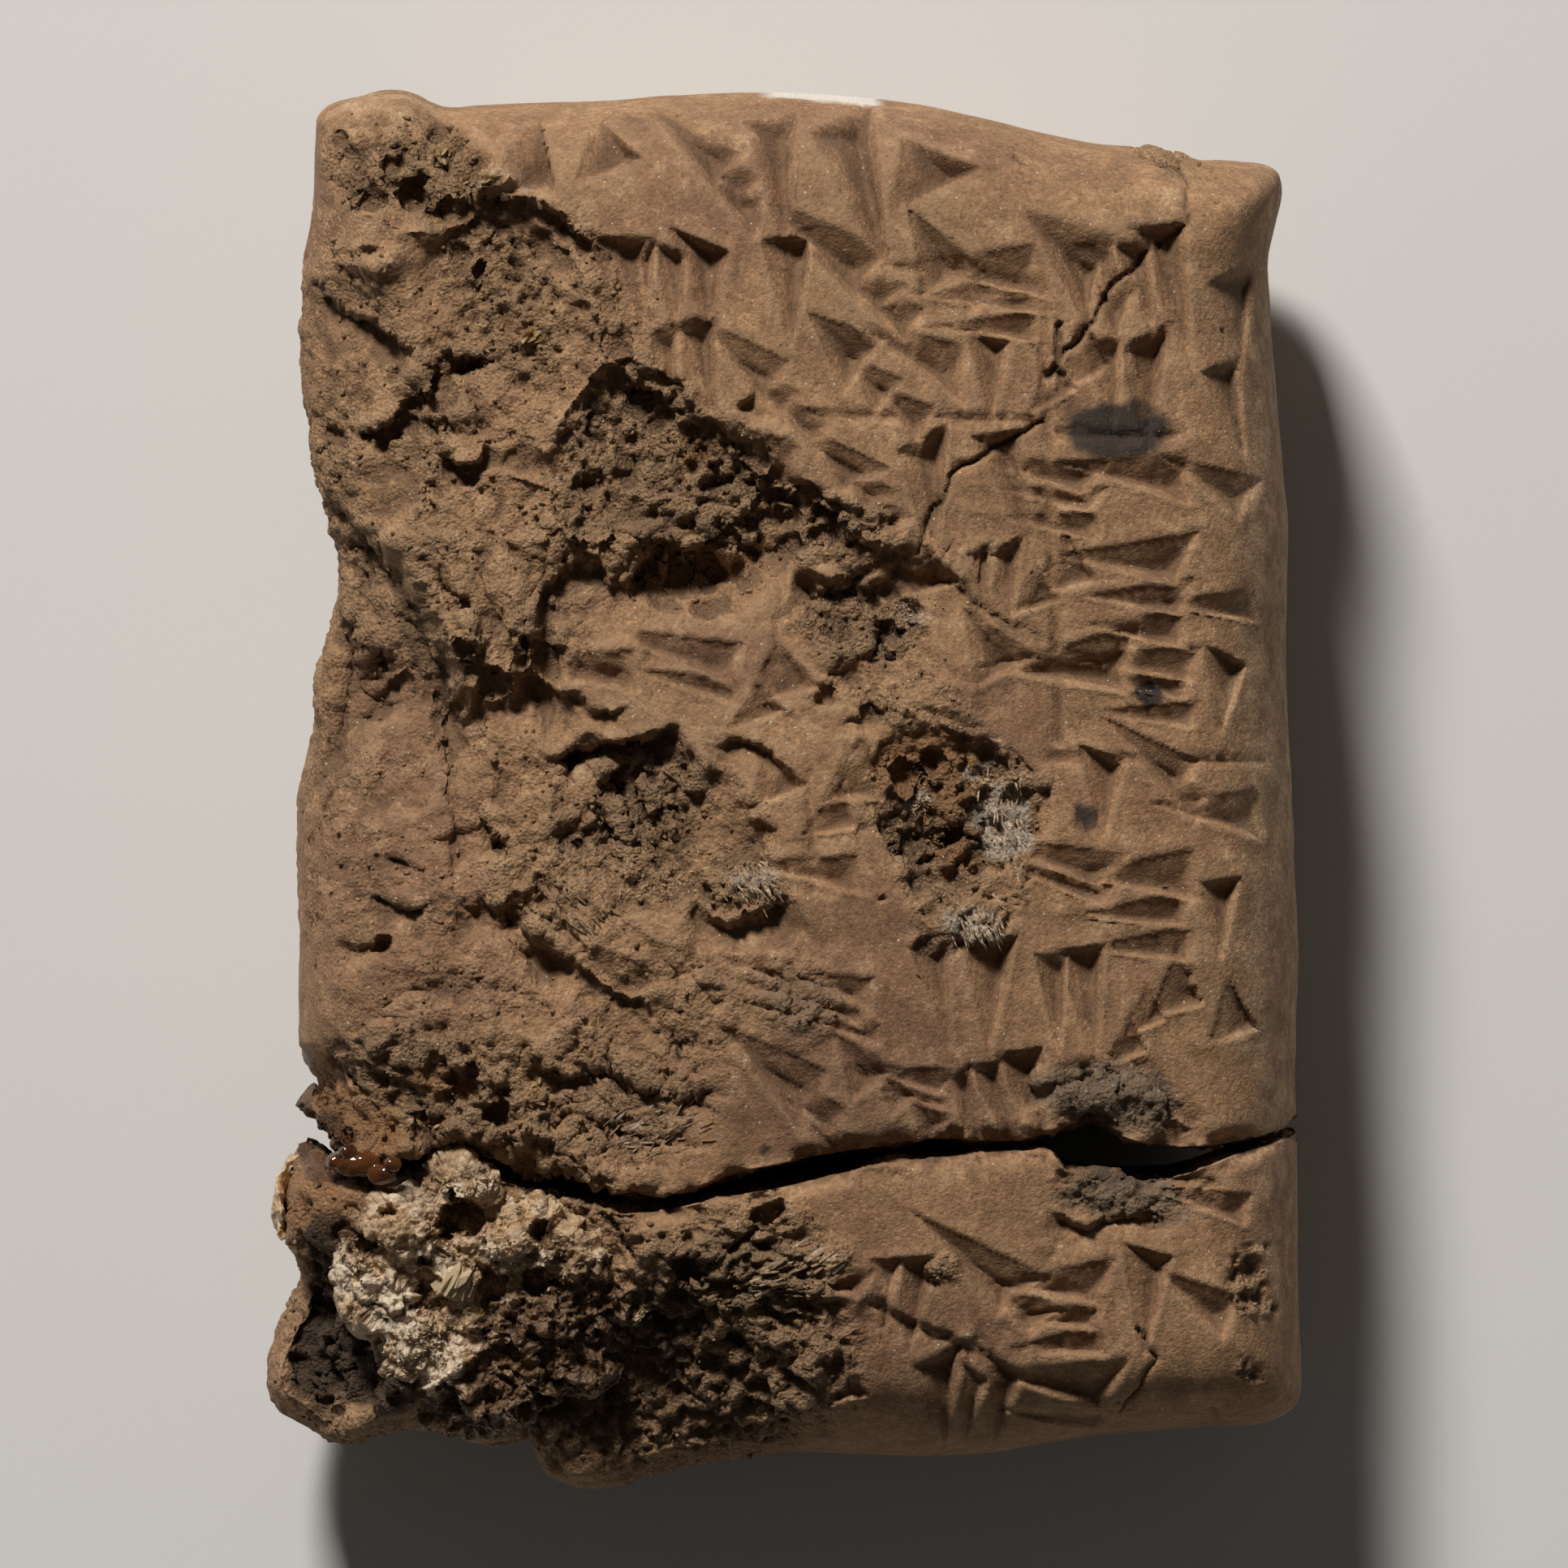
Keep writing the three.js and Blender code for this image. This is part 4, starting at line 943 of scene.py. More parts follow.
def skin(name, lip, way, columns, rows, faces):
    """One fragment's finished skin, from its outline to its stains."""
    x, y, bx, by, side, close = fragment_places(lip, way, columns, rows)
    loss, crumb = face_loss(bx, by)
    pressed, burr = press_strokes(bx, by)
    lines, cracked = scored_lines(bx, by)
    whole = np.clip(1.15 - crumb * 1.3, 0, 1)
    carved = (np.maximum(pressed, lines) + np.minimum(lines, 0) - BURR_HEIGHT * burr) * whole
    chipped = np.clip(1 - np.abs(by - lip(bx)) / CHIP_REACH, 0, 1) ** 2
    chip = chipped * CHIP_DEPTH * np.clip(0.6 + rough_noise(flat_places(bx, by), 1.0, 61, 3), 0, 2)
    front = np.clip(side * FLANK_BEND, 0, 1) ** 2
    sink = front * (loss + carved + chip + CRACK_DEPTH * cracked)
    middle = FLANK_HEIGHT / 2
    rise = np.where(side > 0, face_dome(x, y) - sink - middle, middle - back_height(x, y))
    place = np.stack([bx, by, middle + side * close * rise], axis=-1)
    lift, rough = broken_grain(place, bx, by, side, 1 - close, loss, crumb, front)
    place = place + square_to(place, way) * lift[..., None]
    place[..., 2] = np.maximum(place[..., 2], 0)

    height = lift - sink
    masks = {
        "crumb": rough,
        # deep and deep_wide: how far each place lies below its blurred neighbours, used for dirt and painted
        # shade in the hollows
        "deep": np.clip((blurred(height, 6) - height) / 0.16, -1, 1),
        "deep_wide": np.clip((blurred(height, 22) - height) / 0.5, -1, 1),
        "cracked": cracked * front,
        "lacquer": lacquered(bx, by, side),
    }
    for stain_name, spots in STAINS.items():
        kept_to_face = 1 if stain_name in WRAPPED_STAINS else front
        masks[stain_name] = stain(spots, bx, by) * kept_to_face
    piece = skin_mesh(name, place, masks, faces)
    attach(piece, "root")
    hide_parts(name.replace("_skin", ""))
    return piece


# Finishes. Each shader helper makes one node and gives back what comes out of it.
def node(tree, kind, sockets=None, **settings):
    """A shader node with its settings, and its sockets linked or filled in."""
    made = tree.nodes.new(kind)
    for name, value in settings.items():
        setattr(made, name, value)
    for name, value in (sockets or {}).items():
        if isinstance(value, bpy.types.NodeSocket):
            tree.links.new(value, made.inputs[name])
        else:
            made.inputs[name].default_value = value
    return made


def maths(tree, operation, first, second=0.0, third=0.0, clamp=False):
    sockets = {0: first, 1: second, 2: third}
    return node(tree, "ShaderNodeMath", sockets, operation=operation, use_clamp=clamp).outputs[0]


def blend(tree, share, first, second, how="MIX"):
    mix = node(tree, "ShaderNodeMix", {0: share}, data_type="RGBA", blend_type=how, clamp_factor=True)
    for at, value in ((6, first), (7, second)):
        if isinstance(value, bpy.types.NodeSocket):
            tree.links.new(value, mix.inputs[at])
        else:
            mix.inputs[at].default_value = value
    return mix.outputs[2]


def spread(tree, value, low, high):
    """The value stretched so that low becomes 0 and high becomes 1."""
    sockets = {"Value": value, "From Min": low, "From Max": high}
    return node(tree, "ShaderNodeMapRange", sockets, interpolation_type="SMOOTHSTEP").outputs[0]


def place_in_mm(tree):
    own_place = node(tree, "ShaderNodeTexCoord").outputs["Object"]
    sockets = {0: own_place, 1: (1000, 1000, 1000)}
    return node(tree, "ShaderNodeVectorMath", sockets, operation="MULTIPLY").outputs[0]


def mask(tree, name):
    return node(tree, "ShaderNodeAttribute", attribute_name=name).outputs["Fac"]


def noise(tree, at, scale, detail, rough=0.5):
    sockets = {"Vector": at, "Scale": scale, "Detail": detail, "Roughness": rough}
    return node(tree, "ShaderNodeTexNoise", sockets).outputs[0]


def grey_of(tree, value):
    return node(tree, "ShaderNodeCombineColor", {0: value, 1: value, 2: value}).outputs[0]


def cell_tones(tree, cells):
    """Fixed numbers from 0 to 1 for each cell of a cell pattern."""
    return node(tree, "ShaderNodeSeparateColor", {0: cells.outputs["Color"]}).outputs


WARM = (0.325, 0.182, 0.090, 1)
RED = (0.225, 0.118, 0.062, 1)
BEIGE = (0.40, 0.262, 0.150, 1)
FRESH = (0.36, 0.218, 0.110, 1)
# Dark brown for dirt, and for painted shade in the hollows, cracks and pin holes
DIRT_AND_SHADE_BROWN = (0.10, 0.055, 0.028, 1)
SOOT_BLACK = (0.011, 0.010, 0.010, 1)
ASH = (0.125, 0.096, 0.068, 1)
RUSTY = (0.29, 0.135, 0.048, 1)
SALT_WHITE = (0.55, 0.47, 0.39, 1)
# Colour of the painted shade in the caves
CAVE_SHADE_BROWN = (0.045, 0.026, 0.014, 1)
RESIN_BROWN = (0.085, 0.030, 0.008, 1)
LACQUER_WHITE = (0.72, 0.68, 0.62, 1)


# Pale colour painted on the glints as a highlight
GLINT = (0.85, 0.78, 0.68, 1)
# Painted in this order: stain (the cave patch among them is painted shade), colour, strength and how ragged
# its edge is
STAIN_PAINTS = (
    ("rust", RUSTY, 0.65, 0.7), ("grey", ASH, 0.68, 1.0), ("cave_painted_shade", CAVE_SHADE_BROWN, 0.86, 1.0),
    ("soot", SOOT_BLACK, 0.9, 0.8), ("resin", RESIN_BROWN, 0.85, 0.8), ("salt", SALT_WHITE, 0.75, 1.0),
)
CLAY_BUMP = 0.11 * MM


def clay_finish():
    """Baked clay: warm, red and beige clouds, sandy grain, dirt and painted shade in the hollows, stains,
    painted shade in the caves, painted light on the edges, pin holes darkened with painted shade, and glints
    painted in as highlights.
    """
    paint = bpy.data.materials.new("baked_clay")
    paint.use_nodes = True
    tree = paint.node_tree
    shader = tree.nodes["Principled BSDF"]
    at = place_in_mm(tree)
    broad = noise(tree, at, 0.16, 4, 0.55)
    cloudy = noise(tree, at, 0.9, 6, 0.65)
    gritty = noise(tree, at, 5.5, 4, 0.7)
    sandy = noise(tree, at, 12.0, 3, 0.7)
    grain = node(tree, "ShaderNodeTexVoronoi", {"Vector": at, "Scale": 6.5})
    crumb = mask(tree, "crumb")

    # the body colour, cloud by cloud
    reddened = maths(tree, "ADD", broad, maths(tree, "MULTIPLY", mask(tree, "reddish"), 0.35))
    colour = blend(tree, spread(tree, reddened, 0.48, 0.8), WARM, RED)
    # the 'pale' mask adds painted light along the right flank and the head corner
    paled = maths(tree, "ADD", cloudy, maths(tree, "MULTIPLY", mask(tree, "pale"), 0.22))
    colour = blend(tree, spread(tree, paled, 0.5, 0.85), colour, BEIGE)
    colour = blend(tree, maths(tree, "MULTIPLY", spread(tree, crumb, 0.1, 0.7), 0.6), colour, FRESH)

    # grain by grain, lighter and darker
    strength = maths(tree, "MULTIPLY_ADD", crumb, 1.0, 1.0)
    shade = maths(tree, "MULTIPLY_ADD", maths(tree, "SUBTRACT", gritty, 0.5), strength, 1.0)
    for value, contrast, base in ((cell_tones(tree, grain)[0], 0.34, 0.83), (cloudy, 1.2, 0.4),
                                  (broad, 0.7, 0.65), (sandy, 1.1, 0.45)):
        shade = maths(tree, "MULTIPLY", shade, maths(tree, "MULTIPLY_ADD", value, contrast, base))
    colour = blend(tree, 1.0, colour, grey_of(tree, shade), "MULTIPLY")

    # dirt settled in the hollows with painted shade over it (the wide hollows get painted shade), and rubbed
    # high spots
    deep = maths(tree, "ADD", mask(tree, "deep"), maths(tree, "MULTIPLY", mask(tree, "deep_wide"), 0.6))
    high = maths(tree, "MULTIPLY", deep, -1.0)
    colour = blend(tree, maths(tree, "MULTIPLY", spread(tree, deep, 0.25, 1.3), 0.6), colour, DIRT_AND_SHADE_BROWN)
    colour = blend(tree, maths(tree, "MULTIPLY", spread(tree, high, 0.3, 1.2), 0.22), colour, BEIGE)

    mottle = maths(tree, "ADD", maths(tree, "MULTIPLY", cloudy, 0.6), maths(tree, "MULTIPLY", gritty, 0.4))
    for name, tint, strength, ragged in STAIN_PAINTS:
        share = maths(tree, "ADD", mask(tree, name), maths(tree, "MULTIPLY", mottle, ragged))
        share = spread(tree, share, 0.45 + ragged * 0.42, 0.85 + ragged * 0.5)
        colour = blend(tree, maths(tree, "MULTIPLY", share, strength), colour, tint)
    colour = blend(tree, maths(tree, "MULTIPLY", mask(tree, "cracked"), 0.85), colour, DIRT_AND_SHADE_BROWN)
    colour = blend(tree, maths(tree, "MULTIPLY", mask(tree, "lacquer"), 0.9), colour, LACQUER_WHITE)

    # pin holes, and salt glints: pale specks painted into the colour as highlights, on spots also made
    # glossier
    pit = node(tree, "ShaderNodeTexVoronoi", {"Vector": at, "Scale": 2.1, "Randomness": 1.0})
    pit_hole = maths(tree, "LESS_THAN", pit.outputs["Distance"], 0.13)
    # the pin holes are darkened with painted shade
    colour = blend(tree, maths(tree, "MULTIPLY", pit_hole, 0.45), colour, DIRT_AND_SHADE_BROWN)
    spark = node(tree, "ShaderNodeTexVoronoi", {"Vector": at, "Scale": 5.2})
    chance = maths(tree, "MULTIPLY_ADD", crumb, 0.08, cell_tones(tree, spark)[1])
    glint = maths(tree, "MULTIPLY", maths(tree, "LESS_THAN", spark.outputs["Distance"], 0.2),
                  maths(tree, "GREATER_THAN", chance, 0.94))
    colour = blend(tree, maths(tree, "MULTIPLY", glint, 0.45), colour, GLINT)
    tree.links.new(colour, shader.inputs["Base Color"])
    rough = maths(tree, "MULTIPLY_ADD", glint, -0.55, 0.88)
    rough = maths(tree, "MULTIPLY_ADD", mask(tree, "resin"), -0.6, rough, clamp=True)
    tree.links.new(rough, shader.inputs["Roughness"])

    relief = maths(tree, "MULTIPLY", grain.outputs["Distance"], -0.7)
    relief = maths(tree, "ADD", relief, maths(tree, "MULTIPLY", gritty, 1.2))
    relief = maths(tree, "MULTIPLY", relief, maths(tree, "MULTIPLY_ADD", crumb, 2.4, 0.26))
    cloud_relief = maths(tree, "MULTIPLY", cloudy, maths(tree, "MULTIPLY_ADD", crumb, 1.6, 0.6))
    pore = node(tree, "ShaderNodeTexVoronoi", {"Vector": at, "Scale": 4.6}).outputs["Distance"]
    pore_hole = maths(tree, "LESS_THAN", pore, 0.13)
    relief = maths(tree, "ADD", relief, cloud_relief)
    for value, height in ((sandy, 0.4), (pit_hole, -0.8), (pore_hole, -0.7)):
        relief = maths(tree, "ADD", relief, maths(tree, "MULTIPLY", value, height))
    bump = node(tree, "ShaderNodeBump", {"Height": relief, "Strength": 1.0, "Distance": CLAY_BUMP})
    tree.links.new(bump.outputs[0], shader.inputs["Normal"])
    return paint


clay = clay_finish()
# Columns over the face, each flank, the back and its flanks, then rows of break wall, body and end
UPPER_MESH, UPPER_FACES = ((288, 56, 40, 20), (40, 350, 48)), 192000
LOWER_MESH, LOWER_FACES = ((288, 56, 40, 20), (40, 72, 60)), 125000
smooth = [fragment_places(lip, way, *grid) for lip, way, grid in
          ((upper_lip, 1, UPPER_MESH), (lower_lip, -1, LOWER_MESH))]
reach = [np.concatenate([part[axis].ravel() for part in smooth]) for axis in (2, 3)]
shift = np.array([(values.max() + values.min()) / 2 for values in reach] + [0])        # to the middle
upper = skin("upper_fragment_skin", upper_lip, 1, *UPPER_MESH, UPPER_FACES)
lower = skin("lower_fragment_skin", lower_lip, -1, *LOWER_MESH, LOWER_FACES)
for piece in (upper, lower):
    piece.data.materials.append(clay)
bpy.context.view_layer.update()

# ---------------------------------------------------------------------------------------------
# Salt crust: cream salt that has grown into the broken corner of the lower fragment, a heap of
# translucent grains and splinters with holes through it and one clear crystal in the middle.
# ---------------------------------------------------------------------------------------------
CRUST_MASSES = [
    ((-12, -14.9), (1.5, 1.2, 2.4), 0.30), ((-13.7, -16.7), (2.3, 1.9, 2.6), 0.15),
    ((-11.6, -17.4), (2.4, 2.0, 2.4), -0.10), ((-9.4, -17.1), (2.3, 1.8, 2.4), 0.15),
    ((-7.5, -17.7), (1.7, 1.5, 2.2), -0.15), ((-14.9, -18.8), (1.5, 1.8, 2.2), -0.20),
    ((-13.6, -20.6), (1.6, 1.9, 2.2), -0.50), ((-12.1, -21.8), (1.9, 1.7, 2.2), -0.70),
    ((-11, -19.9), (2.1, 1.9, 2.2), -0.75), ((-8.7, -19.6), (2.2, 1.9, 2.2), -0.60),
    ((-9.8, -21.9), (2.1, 1.7, 2.2), -0.95), ((-6.5, -19.1), (1.5, 1.4, 2.0), -0.60),
    ((-8, -21.3), (1.9, 1.5, 2.0), -1.05), ((-11.6, -23.2), (2.2, 0.9, 2.0), -1.20),
    ((-15.8, -17.7), (0.9, 1.2, 2.0), -0.20),
]
CRUST_HOLES = [
    ((-12.1, -16.1), 0.85, 2.2), ((-15.6, -17.2), 0.42, 1.3), ((-9.1, -16.7), 0.38, 1.0),
    ((-10.9, -18.7), 0.55, 1.5), ((-9.3, -18.6), 0.42, 1.1), ((-13.4, -17.8), 0.3, 0.7),
    ((-6.2, -17.8), 0.3, 0.9), ((-14.6, -16), 0.25, 0.7),
]
CRUST_BROWNED = [
    ((-7.9, -20.6), (3.3, 2.3), -10, 1.0), ((-9.8, -22.3), (2.6, 1.6), 0, 1.0),
    ((-6.4, -18.9), (1.4, 1.4), 0, 0.8), ((-16.4, -16), (0.9, 1.8), 0, 0.8),
    ((-8, -17.2), (1.2, 1.2), 0, 0.45), ((-11, -23.2), (2.6, 1.0), 0, 0.6),
]
CRUST_WHITENED = [
    ((-16.1, -18.1), (0.8, 1.3), 30, 0.9), ((-14.6, -19.9), (0.9, 1.8), 35, 1.0),
    ((-12.8, -21.7), (0.9, 1.5), 35, 0.9), ((-12.6, -15.3), (1.8, 0.9), 0, 0.5),
    ((-9.6, -17.4), (1.3, 0.6), -10, 0.5), ((-5.8, -19.9), (0.9, 0.4), 30, 0.9),
    ((-12.8, -17.7), (1.2, 0.7), -20, 0.6), ((-11, -15.4), (0.9, 0.4), -40, 0.5),
]
CRUST_GRAIN = 0.1 * MM
CREAM = (0.52, 0.345, 0.195, 1)
CRUST_BROWN = (0.15, 0.083, 0.04, 1)
CRUST_WHITE = (0.76, 0.61, 0.45, 1)
SALT_BUMP = 0.09 * MM
HEAP_HEIGHT, LUMP_HEIGHT, SPLINTER_HEIGHTS, UNEVEN = 0.30, 0.26, (0.30, 0.14), 0.34
MOST_CRUST_LIFT = 0.42
# Below this height the crust is darkened with painted shade
SHADED_BELOW = 15.0        # height below which the crust darkens


def joined_lumps(name, masses, voxel):
    """Balls pulled to size, joined and grown together into one skin."""
    balls = []
    for (east, north), reach, rise in masses:
        top = face_dome(np.array(east), np.array(north)) + rise
        centre = (east - shift[0], north - shift[1], float(top) - reach[2])
        bpy.ops.object.select_all(action="DESELECT")
        bpy.ops.mesh.primitive_ico_sphere_add(subdivisions=4, radius=1, location=[c * MM for c in centre])
        ball = bpy.context.object
        ball.scale = [r * MM for r in reach]
        balls.append(ball)
    for ball in balls:
        ball.select_set(True)
    bpy.context.view_layer.objects.active = balls[0]
    bpy.ops.object.join()
    piece = bpy.context.object
    piece.name = name
    bpy.ops.object.transform_apply(location=True, rotation=True, scale=True)
    piece.data.remesh_voxel_size = voxel
    bpy.ops.object.voxel_remesh()
    return piece


def places_and_normals(mesh):
    place, normal = np.empty(len(mesh.vertices) * 3), np.empty(len(mesh.vertices) * 3)
    mesh.vertices.foreach_get("co", place)
    mesh.vertex_normals.foreach_get("vector", normal)
    return place.reshape(-1, 3) / MM, normal.reshape(-1, 3)


def salt_grain_group():
    """Shader group: a tint broken up by pale patches, brown stains and painted shade in the gaps, holes and
    low parts, with each grain's gloss and bump.
    """
    tree = bpy.data.node_groups.new("salt_grain", "ShaderNodeTree")
    tree.interface.new_socket("Tint", in_out="INPUT", socket_type="NodeSocketColor")
    tree.interface.new_socket("Colour", in_out="OUTPUT", socket_type="NodeSocketColor")
    tree.interface.new_socket("Roughness", in_out="OUTPUT", socket_type="NodeSocketFloat")
    tree.interface.new_socket("Normal", in_out="OUTPUT", socket_type="NodeSocketVector")
    tint = tree.nodes.new("NodeGroupInput").outputs["Tint"]
    at = place_in_mm(tree)
    cloudy = noise(tree, at, 0.8, 5.0)
    gritty = noise(tree, at, 5.0, 4.0, 0.7)
    cells = node(tree, "ShaderNodeTexVoronoi", {"Vector": at, "Scale": 4.2})
    tones = cell_tones(tree, cells)
    pale = maths(tree, "MULTIPLY_ADD", mask(tree, "whitened"), 0.4, cloudy)
    colour = blend(tree, spread(tree, pale, 0.5, 0.8), tint, CRUST_WHITE)
    # brown stains, with painted shade in the gaps, holes and low parts from the deep mask
    browned_and_shaded = maths(tree, "MULTIPLY_ADD", mask(tree, "browned"), 0.9, mask(tree, "deep"))
    browned_and_shaded = maths(tree, "ADD", browned_and_shaded, maths(tree, "MULTIPLY", gritty, 0.5))
    colour = blend(tree, spread(tree, browned_and_shaded, 0.5, 1.2), colour, CRUST_BROWN)
    tone = maths(tree, "MULTIPLY_ADD", tones[0], 0.5, 0.7)
    tone = maths(tree, "MULTIPLY", tone, maths(tree, "MULTIPLY_ADD", gritty, 0.7, 0.62))
    relief = maths(tree, "ADD", maths(tree, "MULTIPLY", cells.outputs["Distance"], -1.0), gritty)
    bump = node(tree, "ShaderNodeBump", {"Height": relief, "Strength": 1.0, "Distance": SALT_BUMP})
    node(tree, "NodeGroupOutput", {
        "Colour": blend(tree, 1.0, colour, grey_of(tree, tone), "MULTIPLY"),
        "Roughness": maths(tree, "MULTIPLY_ADD", tones[1], 0.4, 0.16),
        "Normal": bump.outputs[0],
    })
    return tree


salt_grain = salt_grain_group()


def salt_finish(name, tint, clear):
    """Salt of one tint, a little see-through by its clear share, that glows softly under the surface."""
    paint = bpy.data.materials.new(name)
    paint.use_nodes = True
    tree = paint.node_tree
    shader = tree.nodes["Principled BSDF"]
    grain = node(tree, "ShaderNodeGroup", {"Tint": tint}, node_tree=salt_grain)
    tree.links.new(grain.outputs["Colour"], shader.inputs["Base Color"])
    tree.links.new(grain.outputs["Roughness"], shader.inputs["Roughness"])
    tree.links.new(grain.outputs["Normal"], shader.inputs["Normal"])
    shader.inputs["Transmission Weight"].default_value = clear
    shader.inputs["IOR"].default_value = 1.5
    shader.inputs["Subsurface Weight"].default_value = 0.3
    shader.inputs["Subsurface Radius"].default_value = (1.0, 0.6, 0.35)
    shader.inputs["Subsurface Scale"].default_value = 0.5 * MM
    return paint


crust = joined_lumps("salt_crust_skin", CRUST_MASSES, CRUST_GRAIN)
place, normal = places_and_normals(crust.data)
heap = grains(place, 1.5, 101)
lumpy = grains(place, 0.62, 103)
lift = HEAP_HEIGHT * (heap - 0.6) + LUMP_HEIGHT * (lumpy - 0.5)
lift += SPLINTER_HEIGHTS[0] * splinters(place, 0.7, 105)
lift += SPLINTER_HEIGHTS[1] * splinters(place, 0.3, 107)
lift += UNEVEN * rough_noise(place, 1.8, 109, 4)
lift = np.minimum(lift, MOST_CRUST_LIFT)
hole_depth = np.zeros(len(place))
for (east, north), radius, depth in CRUST_HOLES:
    gap = np.hypot(place[:, 0] - east + shift[0], place[:, 1] - north + shift[1])
    gap = gap / radius + 0.34 * rough_noise(place, 0.7, 111, 3)
    hole_depth = np.maximum(hole_depth, depth * np.sqrt(np.clip(1 - gap ** 2, 0, 1)) * (normal[:, 2] > 0.1))
eaten = stain(CRUST_BROWNED, place[:, 0] + shift[0], place[:, 1] + shift[1]) * np.clip(2 * normal[:, 2], 0, 1)
bent = place + 0.26 * np.stack([rough_noise(place, 0.8, seed, 3) for seed in (117, 121, 125)], axis=-1)
caves = np.clip(1 - crumbs(bent, 0.95, 113) / 0.6, 0, 1) ** 0.7
caves = 0.8 * caves + 0.32 * np.clip(1 - crumbs(bent, 0.45, 115) / 0.5, 0, 1)
hole_depth = np.maximum(hole_depth, eaten * caves)
place = place + normal * lift[:, None]
place[:, 2] -= hole_depth
crust.data.vertices.foreach_set("co", (place * MM).ravel())
# deep: painted shade in the gaps between grains, in the holes and on the lower crust
deep = np.clip(1.1 - 0.9 * heap - 0.5 * lumpy, 0, 1) + np.clip(hole_depth, 0, 1)
low = np.clip((SHADED_BELOW - place[:, 2]) / 2.4, 0, 0.7)
add_mask(crust.data, "deep", np.clip(0.8 * deep + low, 0, 1.2))
for name, spots in (("browned", CRUST_BROWNED), ("whitened", CRUST_WHITENED)):
    add_mask(crust.data, name, stain(spots, place[:, 0] + shift[0], place[:, 1] + shift[1]))
crust.data.update()
crust.data.materials.append(salt_finish("cream_salt", CREAM, 0.1))
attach(crust, "root")
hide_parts("salt_crust")

# ---------------------------------------------------------------------------------------------
# Tufts and blades: thin, pointed crystals of salt that have grown out of the clay and the crust
# in draped tufts, with straw-coloured blades in the fibrous clay and amber grains in the caves.
# ---------------------------------------------------------------------------------------------
LOOK_FROM = 30 * MM
BLADE_RINGS = ((0, 0.9), (0.45, 1.0), (0.8, 0.7))        # share of the length and of the width
ROOTED = 0.3             # share of the length held in the clay


def face_hit(piece, east, north):
    """The top of a piece above a place on the table, in mm, with its normal."""
    hit, spot, normal = piece.ray_cast((east * MM, north * MM, LOOK_FROM), (0, 0, -1))[:3]
    return (np.array(spot) / MM, np.array(normal)) if hit else (None, None)


def blade(root, run, long, wide, thin, over):
    """Corners of one blade: rings of four along it, then its two tips."""
    thick = np.cross(run, over)
    base = root - run * long * ROOTED
    corners = []
    for share, size in BLADE_RINGS:
        middle = base + run * long * share
        corners += [middle + over * wide * size, middle + thick * thin * size,
                    middle - over * wide * size, middle - thick * thin * size]
    return corners + [base, base + run * long]


def blade_faces(first):
    faces = []
    for ring in (0, 4):
        for k in range(4):
            a, b = first + ring + k, first + ring + (k + 1) % 4
            faces.append((a, b, b + 4, a + 4))
    for k in range(4):
        faces.append((first + 12, first + (k + 1) % 4, first + k))
        faces.append((first + 13, first + 8 + k, first + 8 + (k + 1) % 4))
    return faces


def blades(name, tufts, seed, paint):
    """Tufts: piece, place, reach, count, length, width, lie (degrees, or None for all ways), rise."""
    rng = np.random.default_rng(seed)
    points, faces = [], []
    for piece, place, reach, count, length, width, lie, rise in tufts:
        for _ in range(count):
            east = place[0] - shift[0] + reach[0] * rng.normal(0, 0.42)
            north = place[1] - shift[1] + reach[1] * rng.normal(0, 0.42)
            root = face_hit(piece, east, north)[0]
            if root is None:
                continue
            way = math.radians(rng.uniform(0, 360) if lie is None else lie + rng.normal(0, 16))
            lift = math.radians(rng.uniform(*rise))
            run = np.array([math.cos(way) * math.cos(lift), math.sin(way) * math.cos(lift), math.sin(lift)])
            over = np.cross(run, rng.normal(size=3))
            over /= np.linalg.norm(over)
            long = length * rng.uniform(0.5, 1.2)
            wide = width * rng.uniform(0.6, 1.3)
            thin = wide * rng.uniform(0.2, 0.5)
            faces += blade_faces(len(points))
            points += blade(root, run, long, wide, thin, over)
    mesh = bpy.data.meshes.new(name)
    mesh.from_pydata([tuple(point * MM) for point in np.array(points)], [], faces)
    piece = bpy.data.objects.new(name, mesh)
    bpy.context.collection.objects.link(piece)
    mesh.materials.append(paint)
    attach(piece, "root")
    return piece


TUFT_WHITE = (0.56, 0.375, 0.215, 1)
BLADE_TAN = (0.32, 0.195, 0.105, 1)
AMBER_GRAIN = (0.46, 0.27, 0.11, 1)
white_salt = salt_finish("white_salt", TUFT_WHITE, 0.0)
tan_salt = salt_finish("tan_salt", BLADE_TAN, 0.0)
blades("salt_tufts", [
    (upper, (8.2, -1.3), (0.8, 1.8), 150, 0.7, 0.045, -78, (-8, 12)),
    (upper, (7.6, 0), (1.0, 0.6), 70, 0.22, 0.06, None, (0, 50)),
    (upper, (7.2, -5.2), (1.1, 0.7), 110, 0.85, 0.045, -66, (-8, 8)),
    (upper, (5, -0.7), (0.45, 0.4), 60, 0.25, 0.05, None, (10, 80)),
    (upper, (-1.1, -3.6), (1.2, 0.8), 95, 0.75, 0.045, -58, (-8, 10)),
    (upper, (4.6, 6.5), (0.9, 0.5), 60, 0.22, 0.04, None, (10, 80)),
    (upper, (-4.4, -3.7), (1.4, 0.7), 60, 0.25, 0.04, None, (10, 60)),
    (lower, (-5.5, -19.8), (0.7, 0.4), 50, 0.35, 0.06, 40, (10, 70)),
    (crust, (-15.8, -17.8), (0.7, 0.9), 120, 0.3, 0.07, None, (10, 80)),
    (crust, (-13.4, -20.8), (1.2, 1.2), 200, 0.3, 0.08, None, (10, 80)),
    (crust, (-11.6, -15.4), (2.6, 1.4), 220, 0.2, 0.07, None, (10, 80)),
    (crust, (-9.8, -17.8), (2.4, 1.4), 160, 0.2, 0.07, None, (10, 80)),
], 11, white_salt)
